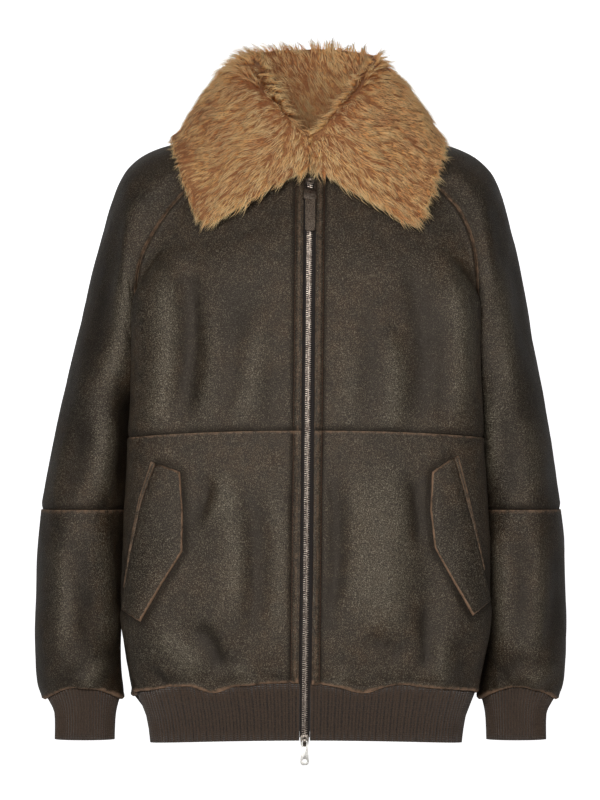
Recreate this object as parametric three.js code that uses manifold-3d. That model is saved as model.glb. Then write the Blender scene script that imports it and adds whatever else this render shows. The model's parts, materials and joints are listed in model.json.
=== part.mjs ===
// A shearling bomber jacket, filled out with no wearer: millimetres, +Z up, front towards -Y.
// The origin lies inside the neck, level with the shoulders. Sides are the wearer's: R is -X, L is +X.
import * as THREE from "three";
import { mergeVertices } from "three/addons/utils/BufferGeometryUtils.js";
import Module from "manifold-3d";

const wasm = await Module();
wasm.setup();

// Driving sizes
const HIDE_THICKNESS = 4.5; // leather with its clipped wool inside
const SEAM_HALF_GAP = 0.18; // each panel stops this far from the seam line
const RIB_THICKNESS = 3.0;
const RIB_RELIEF = 0.7; // how far a rib stands out, and a valley goes in, from the middle of the knit
const RIB_PITCH = 3.75;
const RIB_END = 6.2; // from the middle of the zip to the end of the hem band
const CHANNEL_HALF = 7.5; // from the middle of the zip to the leather's folded edge
const STRIP_WIDTH = 10; // the topstitched leather strip beside the zip
const STRIP_HEIGHT = 1.6;
const CHAIN_HALF = 4.0;
const CHAIN_THICKNESS = 2.4;
const CHAIN_RECESS = 1.4; // the chain lies this far below the leather strips
const TAPE_THICKNESS = 1.2;
const FLAP_THICKNESS = 3.2;
const FLAP_CLEARANCE = 1.2;
const WELT_THICKNESS = 1.8;
const WELT_WIDTH = 7;
const WELT_GAP = 0.4; // from the flap's seam to the welt
const CUTTER_DEPTH = 300;
const CUTTER_START = 99; // nothing behind this far in front of the middle is part of a flap
const COLLAR_END = 1.5; // from the middle of the zip to the end of the collar
const COLLAR_SEAT = 0.8; // the collar's seam stands this far over the neck edge
const COLLAR_CLEARANCE = 2.6; // from the collar's leather side to the jacket
const SIDE_SEAM_Y = 8;
const CREVICE = 9; // the torso draws in this far behind its front edge, so that it clears the sleeve
const UNDERARM = 11; // station where the front and back raglan seams meet
const CREVICE_FROM = 6; // station from which the raglan seam lies in a sharp crevice
const RAGLAN_SKEW = 8; // the seams hang this much askew to the wearer's left

// Columns of quads
const FRONT_TO_EDGE = 9;
const EDGE_TO_SEAM = 3;
const BACK_HALF = 8;
const SLEEVE_ROUND = 18;
const COLLAR_HALF = 17;

// Raglan sleeve, one row for each ring. The outer point faces away from the body and the inner point is
// the raglan seam, or the underside of the arm once the ring is closed (open is half its angle).
const SLEEVE = [
  { outX: 88, outZ: 15, inX: 90, inZ: 1, open: 62, depth: 55, y: 0 },
  { outX: 118, outZ: 13, inX: 124, inZ: -22, open: 72, depth: 66, y: 1 },
  { outX: 150, outZ: 9.5, inX: 158, inZ: -50, open: 80, depth: 74, y: 2 },
  { outX: 173, outZ: 4, inX: 175, inZ: -71, open: 87, depth: 79, y: 2 },
  { outX: 192, outZ: -4, inX: 187, inZ: -95, open: 92, depth: 82, y: 3 },
  { outX: 209, outZ: -17, inX: 196, inZ: -116, open: 96, depth: 84, y: 3 },
  { outX: 221, outZ: -34, inX: 201, inZ: -138, open: 102, depth: 85, y: 4 },
  { outX: 232, outZ: -63, inX: 201, inZ: -170, open: 112, depth: 84, y: 5 },
  { outX: 240, outZ: -92, inX: 197, inZ: -205, open: 125, depth: 83, y: 6 },
  { outX: 249, outZ: -126, inX: 190, inZ: -236, open: 140, depth: 82, y: 6 },
  { outX: 257.5, outZ: -165, inX: 183, inZ: -262, open: 158, depth: 80, y: 7 },
  { outX: 266.5, outZ: -210, inX: 181, inZ: -281, open: 180, depth: 78, y: 8 },
  { outX: 276, outZ: -254, inX: 197, inZ: -300, open: 180, depth: 76, y: 8 },
  { outX: 284, outZ: -293, inX: 202, inZ: -325, open: 180, depth: 74, y: 8 },
  { outX: 291.5, outZ: -332, inX: 206, inZ: -352, open: 180, depth: 73, y: 8 },
  { outX: 299, outZ: -372, inX: 210, inZ: -381, open: 180, depth: 72, y: 8 },
  { outX: 304.5, outZ: -404, inX: 212, inZ: -407, open: 180, depth: 71, y: 8 },
  { outX: 306.5, outZ: -421, inX: 213, inZ: -421, open: 180, depth: 70, y: 8 },
  { outX: 309.5, outZ: -456, inX: 214.5, inZ: -456, open: 180, depth: 70, y: 7 },
  { outX: 312, outZ: -505, inX: 215.5, inZ: -505, open: 180, depth: 68, y: 7 },
  { outX: 313, outZ: -552, inX: 216, inZ: -552, open: 180, depth: 66, y: 6 },
  { outX: 312.5, outZ: -590, inX: 215.5, inZ: -590, open: 180, depth: 63, y: 6 },
  { outX: 311, outZ: -617, inX: 213.5, inZ: -617, open: 180, depth: 58, y: 5 },
  { outX: 308, outZ: -633, inX: 210.5, inZ: -633, open: 180, depth: 53, y: 5 },
  { outX: 301.5, outZ: -646, inX: 211, inZ: -645, open: 180, depth: 47, y: 5 },
];
const ELBOW = 17;

// Knitted cuff below the forearm
const CUFF = [
  { outX: 299, inX: 213.5, z: -646, depth: 44.5 },
  { outX: 289.5, inX: 218, z: -661, depth: 39 },
  { outX: 289, inX: 219.5, z: -692, depth: 38 },
];
const CUFF_Y = 5;
const CUFF_TILT = 0.5; // the cuff seam is twice this higher at the inside of the arm
const CUFF_ARCH = 15; // the cuff seam stands this much higher in front and behind than at its sides

// Torso above the underarm, one row for each station of the raglan seam. The edge is where the front
// folds back towards the sleeve; fold says how far that fold has opened.
const CHEST = [
  { frontZ: -22, frontY: -78, edgeX: 62, edgeY: -66, fold: 0, backZ: 25, backY: 72 },
  { frontZ: -42, frontY: -86.5, edgeX: 84, edgeY: -84, fold: 0, backZ: 4, backY: 87 },
  { frontZ: -62, frontY: -95, edgeX: 104, edgeY: -96, fold: 0, backZ: -20, backY: 99 },
  { frontZ: -82, frontY: -103.5, edgeX: 120, edgeY: -103, fold: 0, backZ: -46, backY: 109 },
  { frontZ: -104, frontY: -112, edgeX: 160, edgeY: -100, fold: 0.1, backZ: -74, backY: 116 },
  { frontZ: -125, frontY: -119, edgeX: 182, edgeY: -98, fold: 0.3, backZ: -100, backY: 121 },
  { frontZ: -148, frontY: -125, edgeX: 197, edgeY: -96, fold: 0.65, backZ: -128, backY: 125 },
  { frontZ: -176, frontY: -131, edgeX: 202, edgeY: -95, fold: 1, backZ: -160, backY: 129 },
  { frontZ: -208, frontY: -137, edgeX: 203.5, edgeY: -93, fold: 1, backZ: -194, backY: 132 },
  { frontZ: -238, frontY: -142, edgeX: 204, edgeY: -91, fold: 1, backZ: -226, backY: 135 },
  { frontZ: -263, frontY: -145, edgeX: 204, edgeY: -89, fold: 1, backZ: -256, backY: 137 },
  { frontZ: -283, frontY: -147, edgeX: 204.5, edgeY: -88, fold: 1, backZ: -283, backY: 138 },
];

// Torso below the underarm, read by height
const TRUNK = [
  { z: -283, edgeX: 204.5, edgeY: -88, sideX: 181, frontY: -147, backY: 138 },
  { z: -345, edgeX: 206.5, edgeY: -88, sideX: 197, frontY: -149, backY: 140 },
  { z: -410, edgeX: 208.5, edgeY: -89, sideX: 201, frontY: -151, backY: 142 },
  { z: -480, edgeX: 211, edgeY: -90, sideX: 205, frontY: -154, backY: 146 },
  { z: -540, edgeX: 215, edgeY: -92, sideX: 209, frontY: -157, backY: 150 },
  { z: -572, edgeX: 211, edgeY: -91, sideX: 207.5, frontY: -156, backY: 149 },
  { z: -598, edgeX: 206, edgeY: -88, sideX: 204, frontY: -153, backY: 146 },
  { z: -618, edgeX: 202.5, edgeY: -85, sideX: 201, frontY: -149, backY: 142 },
  { z: -634, edgeX: 199, edgeY: -82, sideX: 198, frontY: -143, backY: 137 },
];
// Heights of the rows below the underarm at the zip and at the side seam
const TRUNK_ROWS = [
  { front: -306, side: -314, back: -312 },
  { front: -328, side: -345, back: -340 },
  { front: -370, side: -378, back: -376 },
  { front: -412, side: -416, back: -414 },
  { front: -455, side: -455, back: -455 },
  { front: -497, side: -497, back: -497 },
  { front: -538, side: -540, back: -538 },
  { front: -570, side: -575, back: -572 },
  { front: -596, side: -602, back: -598 },
  { front: -613, side: -624, back: -618 },
  { front: -623, side: -642, back: -632 },
];
const YOKE = UNDERARM + 2; // row of the cross seam
const HEM = UNDERARM + TRUNK_ROWS.length; // row of the rib seam

// Knitted hem band below the leather, at its waist and at its lower edge
const HEM_BAND = [
  { edgeX: 186, edgeY: -74, sideX: 186, frontY: -134, backY: 128, z: -657 },
  { edgeX: 181.5, edgeY: -70, sideX: 182.5, frontY: -131, backY: 126, z: -688 },
];
const HEM_BOTTOM_DROP = 4.5; // the band hangs this much lower at the sides
const HEM_ROUND = 1000; // length of the band round the body
const HEM_INSET = 1.6; // the knit starts this far inside the leather's outer face
const HEM_SEAT = 0.5; // and this far below its edge

// Lobes where the leather puffs down over the hem band
const HEM_LOBES = [
  { x: -106, width: 17, drop: 9 },
  { x: 65, width: 22, drop: 10 },
  { x: -20, width: 26, drop: -1.5 },
  { x: 110, width: 16, drop: -2 },
  { x: -142, width: 12, drop: -3 },
];

// Soft folds of the fronts and the back, each a long bell: depth is out from the body, lean is how far
// it moves sideways from its top to its bottom
const FRONT_FOLDS = [
  { x: -180, lean: -4, top: -150, bottom: -345, width: 17, depth: 4 },
  { x: -140, lean: 8, top: -110, bottom: -350, width: 19, depth: -5 },
  { x: -70, lean: -26, top: -170, bottom: -350, width: 26, depth: 3 },
  { x: 168, lean: 4, top: -130, bottom: -345, width: 18, depth: 4 },
  { x: 122, lean: -10, top: -120, bottom: -345, width: 20, depth: -4.5 },
  { x: 84, lean: -6, top: -180, bottom: -350, width: 24, depth: 3 },
  { x: 29, lean: -4, top: -330, bottom: -600, width: 12, depth: -3 },
  { x: 84, lean: -4, top: -350, bottom: -590, width: 36, depth: 5 },
  { x: 132, lean: 14, top: -420, bottom: -610, width: 17, depth: -5 },
  { x: -128, lean: 6, top: -375, bottom: -480, width: 13, depth: -6 },
  { x: -104, lean: 8, top: -400, bottom: -600, width: 22, depth: 4 },
  { x: -60, lean: 6, top: -380, bottom: -600, width: 16, depth: -3 },
  { x: -134, lean: -12, top: -540, bottom: -625, width: 14, depth: -5 },
  { x: -168, lean: 6, top: -555, bottom: -635, width: 22, depth: 5 },
  { x: 160, lean: -6, top: -560, bottom: -640, width: 18, depth: 4 },
];
const BACK_FOLDS = [
  { x: -112, lean: -12, top: -90, bottom: -340, width: 24, depth: 5 },
  { x: -62, lean: -6, top: -120, bottom: -345, width: 22, depth: -4 },
  { x: 10, lean: 8, top: -150, bottom: -350, width: 28, depth: 4 },
  { x: 70, lean: 6, top: -120, bottom: -345, width: 20, depth: -4 },
  { x: 118, lean: 10, top: -100, bottom: -345, width: 24, depth: 5 },
  { x: -90, lean: 10, top: -370, bottom: -600, width: 24, depth: 5 },
  { x: -34, lean: -4, top: -350, bottom: -590, width: 20, depth: -4 },
  { x: 44, lean: 6, top: -380, bottom: -615, width: 28, depth: 5 },
  { x: 104, lean: -8, top: -420, bottom: -610, width: 18, depth: -4 },
];
// Folds of the sleeves: angle runs round the arm from -180 (inside) through -90 (front) and 0 (outside)
const SLEEVE_FOLDS = [
  { side: -1, angle: -84, turn: -22, top: -50, bottom: -190, width: 20, depth: 4 },
  { side: 1, angle: -76, turn: -26, top: -40, bottom: -190, width: 20, depth: 4 },
  { side: -1, angle: -52, turn: -14, top: -60, bottom: -230, width: 18, depth: -3.5 },
  { side: 1, angle: -48, turn: -14, top: -60, bottom: -230, width: 18, depth: -3.5 },
  { side: -1, angle: -120, turn: 10, top: -250, bottom: -420, width: 24, depth: 4 },
  { side: 1, angle: -118, turn: 8, top: -240, bottom: -420, width: 24, depth: 4 },
  { side: -1, angle: -70, turn: 14, top: -300, bottom: -420, width: 22, depth: -3 },
  { side: 1, angle: -66, turn: 10, top: -310, bottom: -420, width: 22, depth: -3 },
  { side: -1, angle: -112, turn: -14, top: -440, bottom: -640, width: 22, depth: -4 },
  { side: 1, angle: -64, turn: 14, top: -440, bottom: -640, width: 22, depth: -4 },
  { side: -1, angle: -56, turn: 6, top: -520, bottom: -640, width: 24, depth: 4 },
  { side: 1, angle: -108, turn: -8, top: -500, bottom: -640, width: 24, depth: 4 },
  { side: -1, angle: 70, turn: 20, top: -80, bottom: -400, width: 26, depth: 4 },
  { side: 1, angle: 74, turn: 16, top: -90, bottom: -400, width: 26, depth: 4 },
  { side: -1, angle: 100, turn: -20, top: -430, bottom: -640, width: 26, depth: -4 },
  { side: 1, angle: 92, turn: -20, top: -430, bottom: -640, width: 26, depth: -4 },
];

// Pocket flap seen from the front, for the wearer's right and left: distance from the middle and height
const POCKETS = [
  {
    side: -1,
    seam: [
      { x: 174, z: -366 },
      { x: 190, z: -410 },
      { x: 202, z: -466 },
      { x: 210, z: -512 },
      { x: 213.5, z: -536 },
    ],
    free: [
      { x: 146, z: -376 },
      { x: 143, z: -420 },
      { x: 143, z: -468 },
      { x: 168, z: -508 },
      { x: 192, z: -550 },
    ],
  },
  {
    side: 1,
    seam: [
      { x: 171, z: -359 },
      { x: 184, z: -404 },
      { x: 196, z: -450 },
      { x: 206, z: -492 },
      { x: 213.5, z: -526 },
    ],
    free: [
      { x: 146, z: -376 },
      { x: 144, z: -420 },
      { x: 149, z: -464 },
      { x: 171, z: -504 },
      { x: 193, z: -543 },
    ],
  },
];

// Collar, one row for each direction round the neck from the front (0) to the nape (180): the top is
// where the leather side turns over, the leaf is its outer edge
const COLLAR = [
  { turn: 0, topX: 3, topY: -86, topZ: 0, leafX: 5, leafY: -101, leafZ: -17 },
  { turn: 14, topX: 21, topY: -84, topZ: 16, leafX: 32, leafY: -110, leafZ: -30 },
  { turn: 28, topX: 38, topY: -77, topZ: 34, leafX: 60, leafY: -116, leafZ: -46 },
  { turn: 42, topX: 54, topY: -63, topZ: 52, leafX: 90, leafY: -118, leafZ: -64 },
  { turn: 56, topX: 66, topY: -46, topZ: 66, leafX: 118, leafY: -114, leafZ: -77 },
  { turn: 70, topX: 75, topY: -26, topZ: 78, leafX: 134, leafY: -88, leafZ: -42 },
  { turn: 84, topX: 80, topY: -6, topZ: 87, leafX: 142, leafY: -58, leafZ: -6 },
  { turn: 100, topX: 82, topY: 16, topZ: 94, leafX: 144, leafY: -12, leafZ: 17 },
  { turn: 118, topX: 78, topY: 42, topZ: 99, leafX: 140, leafY: 42, leafZ: 16 },
  { turn: 138, topX: 62, topY: 64, topZ: 102, leafX: 114, leafY: 86, leafZ: 6 },
  { turn: 160, topX: 34, topY: 80, topZ: 103, leafX: 60, leafY: 114, leafZ: -6 },
  { turn: 180, topX: 0, topY: 86, topZ: 103, leafX: 0, leafY: 122, leafZ: -10 },
];
// Across the collar: share of the stand or of the fall, thickness of hide and wool, and how far the wool
// reaches past the leaf's edge
const COLLAR_ACROSS = [
  { part: "stand", share: 0, wool: 9, past: 0 },
  { part: "stand", share: 0.5, wool: 15, past: 0 },
  { part: "stand", share: 1, wool: 18, past: 0 },
  { part: "turn", share: 0.5, wool: 19, past: 0 },
  { part: "fall", share: 0, wool: 19, past: 0 },
  { part: "fall", share: 0.22, wool: 20, past: 0 },
  { part: "fall", share: 0.46, wool: 20, past: 0 },
  { part: "fall", share: 0.72, wool: 20, past: 3 },
  { part: "fall", share: 0.9, wool: 17, past: 8 },
  { part: "fall", share: 1, wool: 9, past: 14 },
];
const COLLAR_TURN_HALF = 3.5; // half the slot between the stand and the fall

// Zip hardware
const UPPER_HINGE_Z = -34;
const UPPER_TILT = 0.42; // the upper pull lies along the slope of the chest
const BAIL = { width: 13.5, height: 15, bar: 1.8 };
const PLATE = { width: 15, height: 12.4, thickness: 2 };
const TAB = { width: 12, height: 41, thickness: 3 };
const LOWER_HINGE_Z = -688;
const LOWER_PULL = { neck: 7.1, foot: 10.2, height: 21, thickness: 1.8, holeWidth: 5.6, holeHeight: 4.2 };
const SLIDER = { width: 10.5, height: 12.5, plate: 2 };
const HINGE_FORWARD = 4.3; // the hinge axes stand in front of the chain by the bridge's height
const PLATE_BACK = 3.5; // the slider's plate ends just short of the chain
const TAPE_END_Z = -620;

const HIDE = { color: 0x3c322a, roughness: 0.55, metalness: 0 };
const WOOL = { color: 0xbe8c5a, roughness: 0.95, metalness: 0 };
const KNIT = { color: 0x372d26, roughness: 0.9, metalness: 0 };
const TAPE = { color: 0x2a2420, roughness: 0.9, metalness: 0 };
const STEEL = { color: 0xb4b4b4, roughness: 0.3, metalness: 1 };
const GUNMETAL = { color: 0x5a5852, roughness: 0.35, metalness: 1 };
const TAUPE = { color: 0x62554b, roughness: 0.6, metalness: 0 };

const mix = (a, b, t) => a + (b - a) * t;
const radians = (degrees) => (degrees * Math.PI) / 180;
const clamp = (v, low, high) => Math.min(high, Math.max(low, v));
const bell = (v) => Math.exp(-v * v);
const sideName = (side) => (side < 0 ? "R" : "L");

// The middle of the zip, which drifts to the wearer's right as it goes down
const zipX = (z) => 5.3 + 0.0102 * z;
// The sleeves drift the same way
const lean = (z) => -1.5 - 5 * Math.tanh((-z - 230) / 170);

// Reads one column of a table at a key between its rows, along a smooth curve through them
function readTable(rows, key, at, column) {
  const rising = rows[rows.length - 1][key] > rows[0][key] ? 1 : -1;
  let i = 0;
  while (i < rows.length - 2 && (at - rows[i + 1][key]) * rising > 0) i += 1;
  const span = rows[i + 1][key] - rows[i][key];
  const t = clamp((at - rows[i][key]) / span, 0, 1);
  const slope = (j) => {
    const a = rows[Math.max(j - 1, 0)];
    const b = rows[Math.min(j + 1, rows.length - 1)];
    return (b[column] - a[column]) / (b[key] - a[key]);
  };
  const a = rows[i][column];
  const b = rows[i + 1][column];
  const t2 = t * t;
  const t3 = t2 * t;
  return (
    (2 * t3 - 3 * t2 + 1) * a +
    (t3 - 2 * t2 + t) * span * slope(i) +
    (3 * t2 - 2 * t3) * b +
    (t3 - t2) * span * slope(i + 1)
  );
}

// How far the folds of a table stand out at a place
function foldOut(folds, x, z) {
  let out = 0;
  for (const fold of folds) {
    const along = (z - fold.top) / (fold.bottom - fold.top);
    if (along <= 0 || along >= 1) continue;
    const middle = fold.x + fold.lean * along;
    out += fold.depth * Math.sin(Math.PI * along) * bell((x - middle) / fold.width);
  }
  return out;
}

// Even steps along a plane curve made of cubic Bezier arcs, as [x, y] pairs
function evenSteps(arcs, steps) {
  const fine = [];
  for (const [p0, p1, p2, p3] of arcs) {
    for (let i = fine.length ? 1 : 0; i <= 24; i += 1) {
      const t = i / 24;
      const w = [(1 - t) ** 3, 3 * t * (1 - t) ** 2, 3 * t * t * (1 - t), t ** 3];
      fine.push([0, 1].map((c) => w[0] * p0[c] + w[1] * p1[c] + w[2] * p2[c] + w[3] * p3[c]));
    }
  }
  const run = [0];
  for (let i = 1; i < fine.length; i += 1) {
    run.push(run[i - 1] + Math.hypot(fine[i][0] - fine[i - 1][0], fine[i][1] - fine[i - 1][1]));
  }
  const out = [];
  let i = 0;
  for (let s = 0; s <= steps; s += 1) {
    const at = (run[run.length - 1] * s) / steps;
    while (i < run.length - 2 && run[i + 1] < at) i += 1;
    const t = clamp((at - run[i]) / (run[i + 1] - run[i]), 0, 1);
    out.push([mix(fine[i][0], fine[i + 1][0], t), mix(fine[i][1], fine[i + 1][1], t)]);
  }
  return out;
}

// One point of a sleeve ring: round runs from 0 at the front seam to 1 at the back seam
function sleevePoint(side, station, round) {
  const ring = SLEEVE[station];
  const skewShare = [0, 0.6, 1, 1, 0.8, 0.4][station] ?? 0;
  const inX = ring.inX + side * RAGLAN_SKEW * skewShare;
  const open = radians(ring.open);
  const reach = 1 - Math.cos(open);
  const acrossX = (ring.outX - inX) / reach;
  const acrossZ = (ring.outZ - ring.inZ) / reach;
  const angle = mix(-open, open, round);
  const degrees = (angle * 180) / Math.PI;
  const last = SLEEVE.length - 1;
  let bulge = 0;
  for (const fold of SLEEVE_FOLDS) {
    const z = mix(ring.inZ, ring.outZ, 0.5);
    const along = (z - fold.top) / (fold.bottom - fold.top);
    if (fold.side !== side || along <= 0 || along >= 1) continue;
    const middle = fold.angle + fold.turn * along;
    bulge += fold.depth * Math.sin(Math.PI * along) * bell((degrees - middle) / fold.width);
  }
  const grow = 1 + bulge / Math.hypot(acrossX, acrossZ);
  const x = ring.outX + acrossX * (Math.cos(angle) * grow - 1);
  let z = ring.outZ + acrossZ * (Math.cos(angle) * grow - 1);
  if (station === last) z += CUFF_ARCH * Math.sin(angle) ** 2;
  if (station === last - 1) z += 0.6 * CUFF_ARCH * Math.sin(angle) ** 2;
  if (station === last - 2) z += 0.25 * CUFF_ARCH * Math.sin(angle) ** 2;
  const y = ring.y + ring.depth * Math.sin(angle) * (1 + bulge / ring.depth);
  return new THREE.Vector3(side * x + lean(z), y, z);
}

// Where the leather meets the hem band, seen from the front
function hemDrop(x) {
  let drop = 0;
  for (const lobe of HEM_LOBES) drop += lobe.drop * bell((x - lobe.x) / lobe.width);
  return drop;
}

const trunkAt = (z) => ({
  edgeX: readTable(TRUNK, "z", z, "edgeX"),
  edgeY: readTable(TRUNK, "z", z, "edgeY"),
  sideX: readTable(TRUNK, "z", z, "sideX"),
  frontY: readTable(TRUNK, "z", z, "frontY"),
  backY: readTable(TRUNK, "z", z, "backY"),
});

const sideSeam = (side, z) => new THREE.Vector3(side * trunkAt(z).sideX + lean(z), SIDE_SEAM_Y, z);

// Half a section of the torso from x = start round the front edge to the seam, then from the seam to
// the middle of the back. Both are plane curves.
function frontArcs(start, s, seamX, seamY) {
  return [
    [
      [start, s.frontY],
      [start + 0.6 * (s.edgeX - start), s.frontY],
      [s.edgeX, mix(s.edgeY, s.frontY, 0.72)],
      [s.edgeX, s.edgeY],
    ],
    [
      [s.edgeX, s.edgeY],
      [s.edgeX, mix(s.edgeY, seamY, 0.22)],
      [seamX - CREVICE, mix(s.edgeY, seamY, 0.62)],
      [seamX, seamY],
    ],
  ];
}
function backArc(s, seamX, seamY, fold) {
  return [
    [seamX, seamY],
    [seamX * mix(0.72, 1, fold) + 12 * fold, mix(seamY, s.backY, mix(0.45, 0.72, fold))],
    [0.55 * seamX, s.backY],
    [0, s.backY],
  ];
}

// One row of a front panel, from the zip to the raglan or side seam
function frontRow(side, row) {
  const above = row <= UNDERARM;
  const rows = above ? CHEST[row] : TRUNK_ROWS[row - UNDERARM - 1];
  const frontZ = above ? rows.frontZ : rows.front;
  const seam = above ? sleevePoint(side, row, 0) : sideSeam(side, rows.side);
  const section = above ? rows : trunkAt((rows.front + rows.side) / 2);
  const fold = above ? rows.fold : 1;
  const seamX = side * seam.x;
  const start = side * zipX(frontZ) + CHANNEL_HALF;
  const groove = start + STRIP_WIDTH;
  const arcs = frontArcs(groove, section, seamX, seam.y);
  const folded = [
    ...evenSteps([arcs[0]], FRONT_TO_EDGE),
    ...evenSteps([arcs[1]], EDGE_TO_SEAM).slice(1),
  ];
  const plain = evenSteps(
    [
      [
        [groove, section.frontY],
        [mix(groove, seamX, 0.45), section.frontY],
        [mix(groove, seamX, 0.78), mix(seam.y, section.frontY, 0.42)],
        [seamX, seam.y],
      ],
    ],
    FRONT_TO_EDGE + EDGE_TO_SEAM,
  );
  const points = [new THREE.Vector3(side * start, section.frontY - STRIP_HEIGHT, frontZ)];
  folded.forEach((p, j) => {
    const x = mix(plain[j][0], p[0], fold);
    const y = mix(plain[j][1], p[1], fold);
    const share = j / (folded.length - 1);
    let z = mix(frontZ, seam.z, share * share);
    const facing = clamp((section.edgeX - x) / 25, 0, 1) * clamp((x - groove) / 15, 0, 1);
    if (row === HEM) z -= hemDrop(side * x) * clamp((section.edgeX - x) / 40, 0, 1);
    if (row === HEM - 1) z -= 0.5 * hemDrop(side * x) * clamp((section.edgeX - x) / 40, 0, 1);
    const out = foldOut(FRONT_FOLDS, side * x, z) * facing;
    points.push(new THREE.Vector3(side * x, y - out, z));
  });
  if (row === HEM) points[0].z = points[1].z;
  points[points.length - 1].copy(seam);
  return points;
}

// One row of the back, from the left seam to the right one
function backRow(row) {
  const above = row <= UNDERARM;
  const rows = above ? CHEST[row] : TRUNK_ROWS[row - UNDERARM - 1];
  const backZ = above ? rows.backZ : rows.back;
  const section = above ? rows : trunkAt(backZ);
  const halves = [1, -1].map((side) => {
    const seam = above ? sleevePoint(side, row, 1) : sideSeam(side, rows.side);
    const fold = above ? clamp((row - 5) / 5, 0, 1) : 1;
    const steps = evenSteps([backArc(section, side * seam.x, seam.y, fold)], BACK_HALF);
    const points = steps.map(([x, y], j) => {
      const share = 1 - j / BACK_HALF;
      const z = mix(backZ, seam.z, share * share);
      const facing = clamp((side * seam.x - x) / 25, 0, 1);
      return new THREE.Vector3(side * x, y + foldOut(BACK_FOLDS, side * x, z) * facing, z);
    });
    points[0].copy(seam);
    return points;
  });
  return [...halves[0], ...halves[1].reverse().slice(1)];
}

// The whole leather shell is one welded sheet of quads, so that neighbouring panels share their seams
const shell = { points: [], index: new Map(), faces: [] };
function weld(p) {
  const key = [p.x, p.y, p.z].map((v) => Math.round(v * 100)).join(" ");
  if (!shell.index.has(key)) {
    shell.index.set(key, shell.points.length);
    shell.points.push(p.clone());
  }
  return shell.index.get(key);
}
function addPanel(panel, rows, flip) {
  for (let i = 0; i + 1 < rows.length; i += 1) {
    for (let j = 0; j + 1 < rows[i].length; j += 1) {
      const corners = [rows[i][j], rows[i + 1][j], rows[i + 1][j + 1], rows[i][j + 1]].map(weld);
      shell.faces.push({ panel, corners: flip ? corners.reverse() : corners });
    }
  }
}
const rowRange = (from, to, make) => {
  const rows = [];
  for (let row = from; row <= to; row += 1) rows.push(make(row));
  return rows;
};
function sleeveRing(side, station) {
  const ring = [];
  for (let j = 0; j <= SLEEVE_ROUND; j += 1) ring.push(sleevePoint(side, station, j / SLEEVE_ROUND));
  return ring;
}
for (const side of [-1, 1]) {
  const front = (row) => frontRow(side, row);
  const ring = (station) => sleeveRing(side, station);
  addPanel("front_upper_" + sideName(side), rowRange(0, YOKE, front), side < 0);
  addPanel("front_lower_" + sideName(side), rowRange(YOKE, HEM, front), side < 0);
  addPanel("sleeve_upper_" + sideName(side), rowRange(0, ELBOW, ring), side < 0);
  addPanel("sleeve_lower_" + sideName(side), rowRange(ELBOW, SLEEVE.length - 1, ring), side < 0);
}
addPanel("back_upper", rowRange(0, YOKE, backRow), false);
addPanel("back_lower", rowRange(YOKE, HEM, backRow), false);

// Softens the shell along the raglan seams, where two ways of drawing it meet
function relaxRaglan(passes) {
  const near = new Set();
  for (const side of [-1, 1]) {
    for (let row = 1; row <= 7; row += 1) {
      const front = frontRow(side, row);
      const back = backRow(row);
      const ring = sleeveRing(side, row);
      const backEnd = side > 0 ? back.slice(0, 3) : back.slice(-3);
      [...front.slice(-3), ...backEnd, ...ring.slice(0, 3), ...ring.slice(-3)].forEach((p) => near.add(weld(p)));
    }
  }
  const links = new Map([...near].map((i) => [i, new Set()]));
  for (const { corners } of shell.faces) {
    corners.forEach((v, i) => {
      if (!near.has(v)) return;
      links.get(v).add(corners[(i + 1) % 4]);
      links.get(v).add(corners[(i + 3) % 4]);
    });
  }
  for (let pass = 0; pass < passes; pass += 1) {
    const moved = new Map();
    for (const [v, around] of links) {
      const mean = new THREE.Vector3();
      around.forEach((w) => mean.add(shell.points[w]));
      moved.set(v, mean.divideScalar(around.size).lerp(shell.points[v], 0.5));
    }
    moved.forEach((p, v) => shell.points[v].copy(p));
  }
}
relaxRaglan(3);

const shellNormals = shell.points.map(() => new THREE.Vector3());
for (const { corners } of shell.faces) {
  const [a, b, c, d] = corners.map((i) => shell.points[i]);
  const normal = new THREE.Vector3().crossVectors(c.clone().sub(a), d.clone().sub(b));
  corners.forEach((i) => shellNormals[i].add(normal));
}
shellNormals.forEach((n) => n.normalize());

// In the sharp crevice between torso and sleeve the way out is the middle of the crevice's opening
for (const side of [-1, 1]) {
  for (let row = CREVICE_FROM; row <= UNDERARM; row += 1) {
    const front = frontRow(side, row);
    const back = backRow(row);
    const ring = sleeveRing(side, row);
    const meets = [
      [front.at(-1), front.at(-2), ring[1]],
      [ring.at(-1), side > 0 ? back[1] : back.at(-2), ring.at(-2)],
    ];
    if (row === UNDERARM) meets.splice(0, 2, [ring[0], frontRow(side, row + 1).at(-1), sleevePoint(side, row + 1, 0)]);
    for (const [at, one, two] of meets.map((m) => m.map(weld))) {
      const opening = new THREE.Vector3();
      for (const v of [one, two]) opening.add(shell.points[v].clone().sub(shell.points[at]).normalize());
      const share = clamp((row - CREVICE_FROM + 1) / 4, 0, 1);
      shellNormals[at].lerp(opening.normalize(), share).normalize();
    }
  }
}

// A closed mesh from a list of points and a list of triangles or quads
function meshOf(points, faces) {
  const triangles = faces.flatMap((f) => (f.length === 4 ? [f[0], f[1], f[2], f[0], f[2], f[3]] : f));
  const geometry = new THREE.BufferGeometry();
  const flat = points.flatMap((p) => [p.x, p.y, p.z]);
  geometry.setAttribute("position", new THREE.Float32BufferAttribute(flat, 3));
  geometry.setIndex(triangles);
  geometry.computeVertexNormals();
  return geometry;
}

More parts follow.
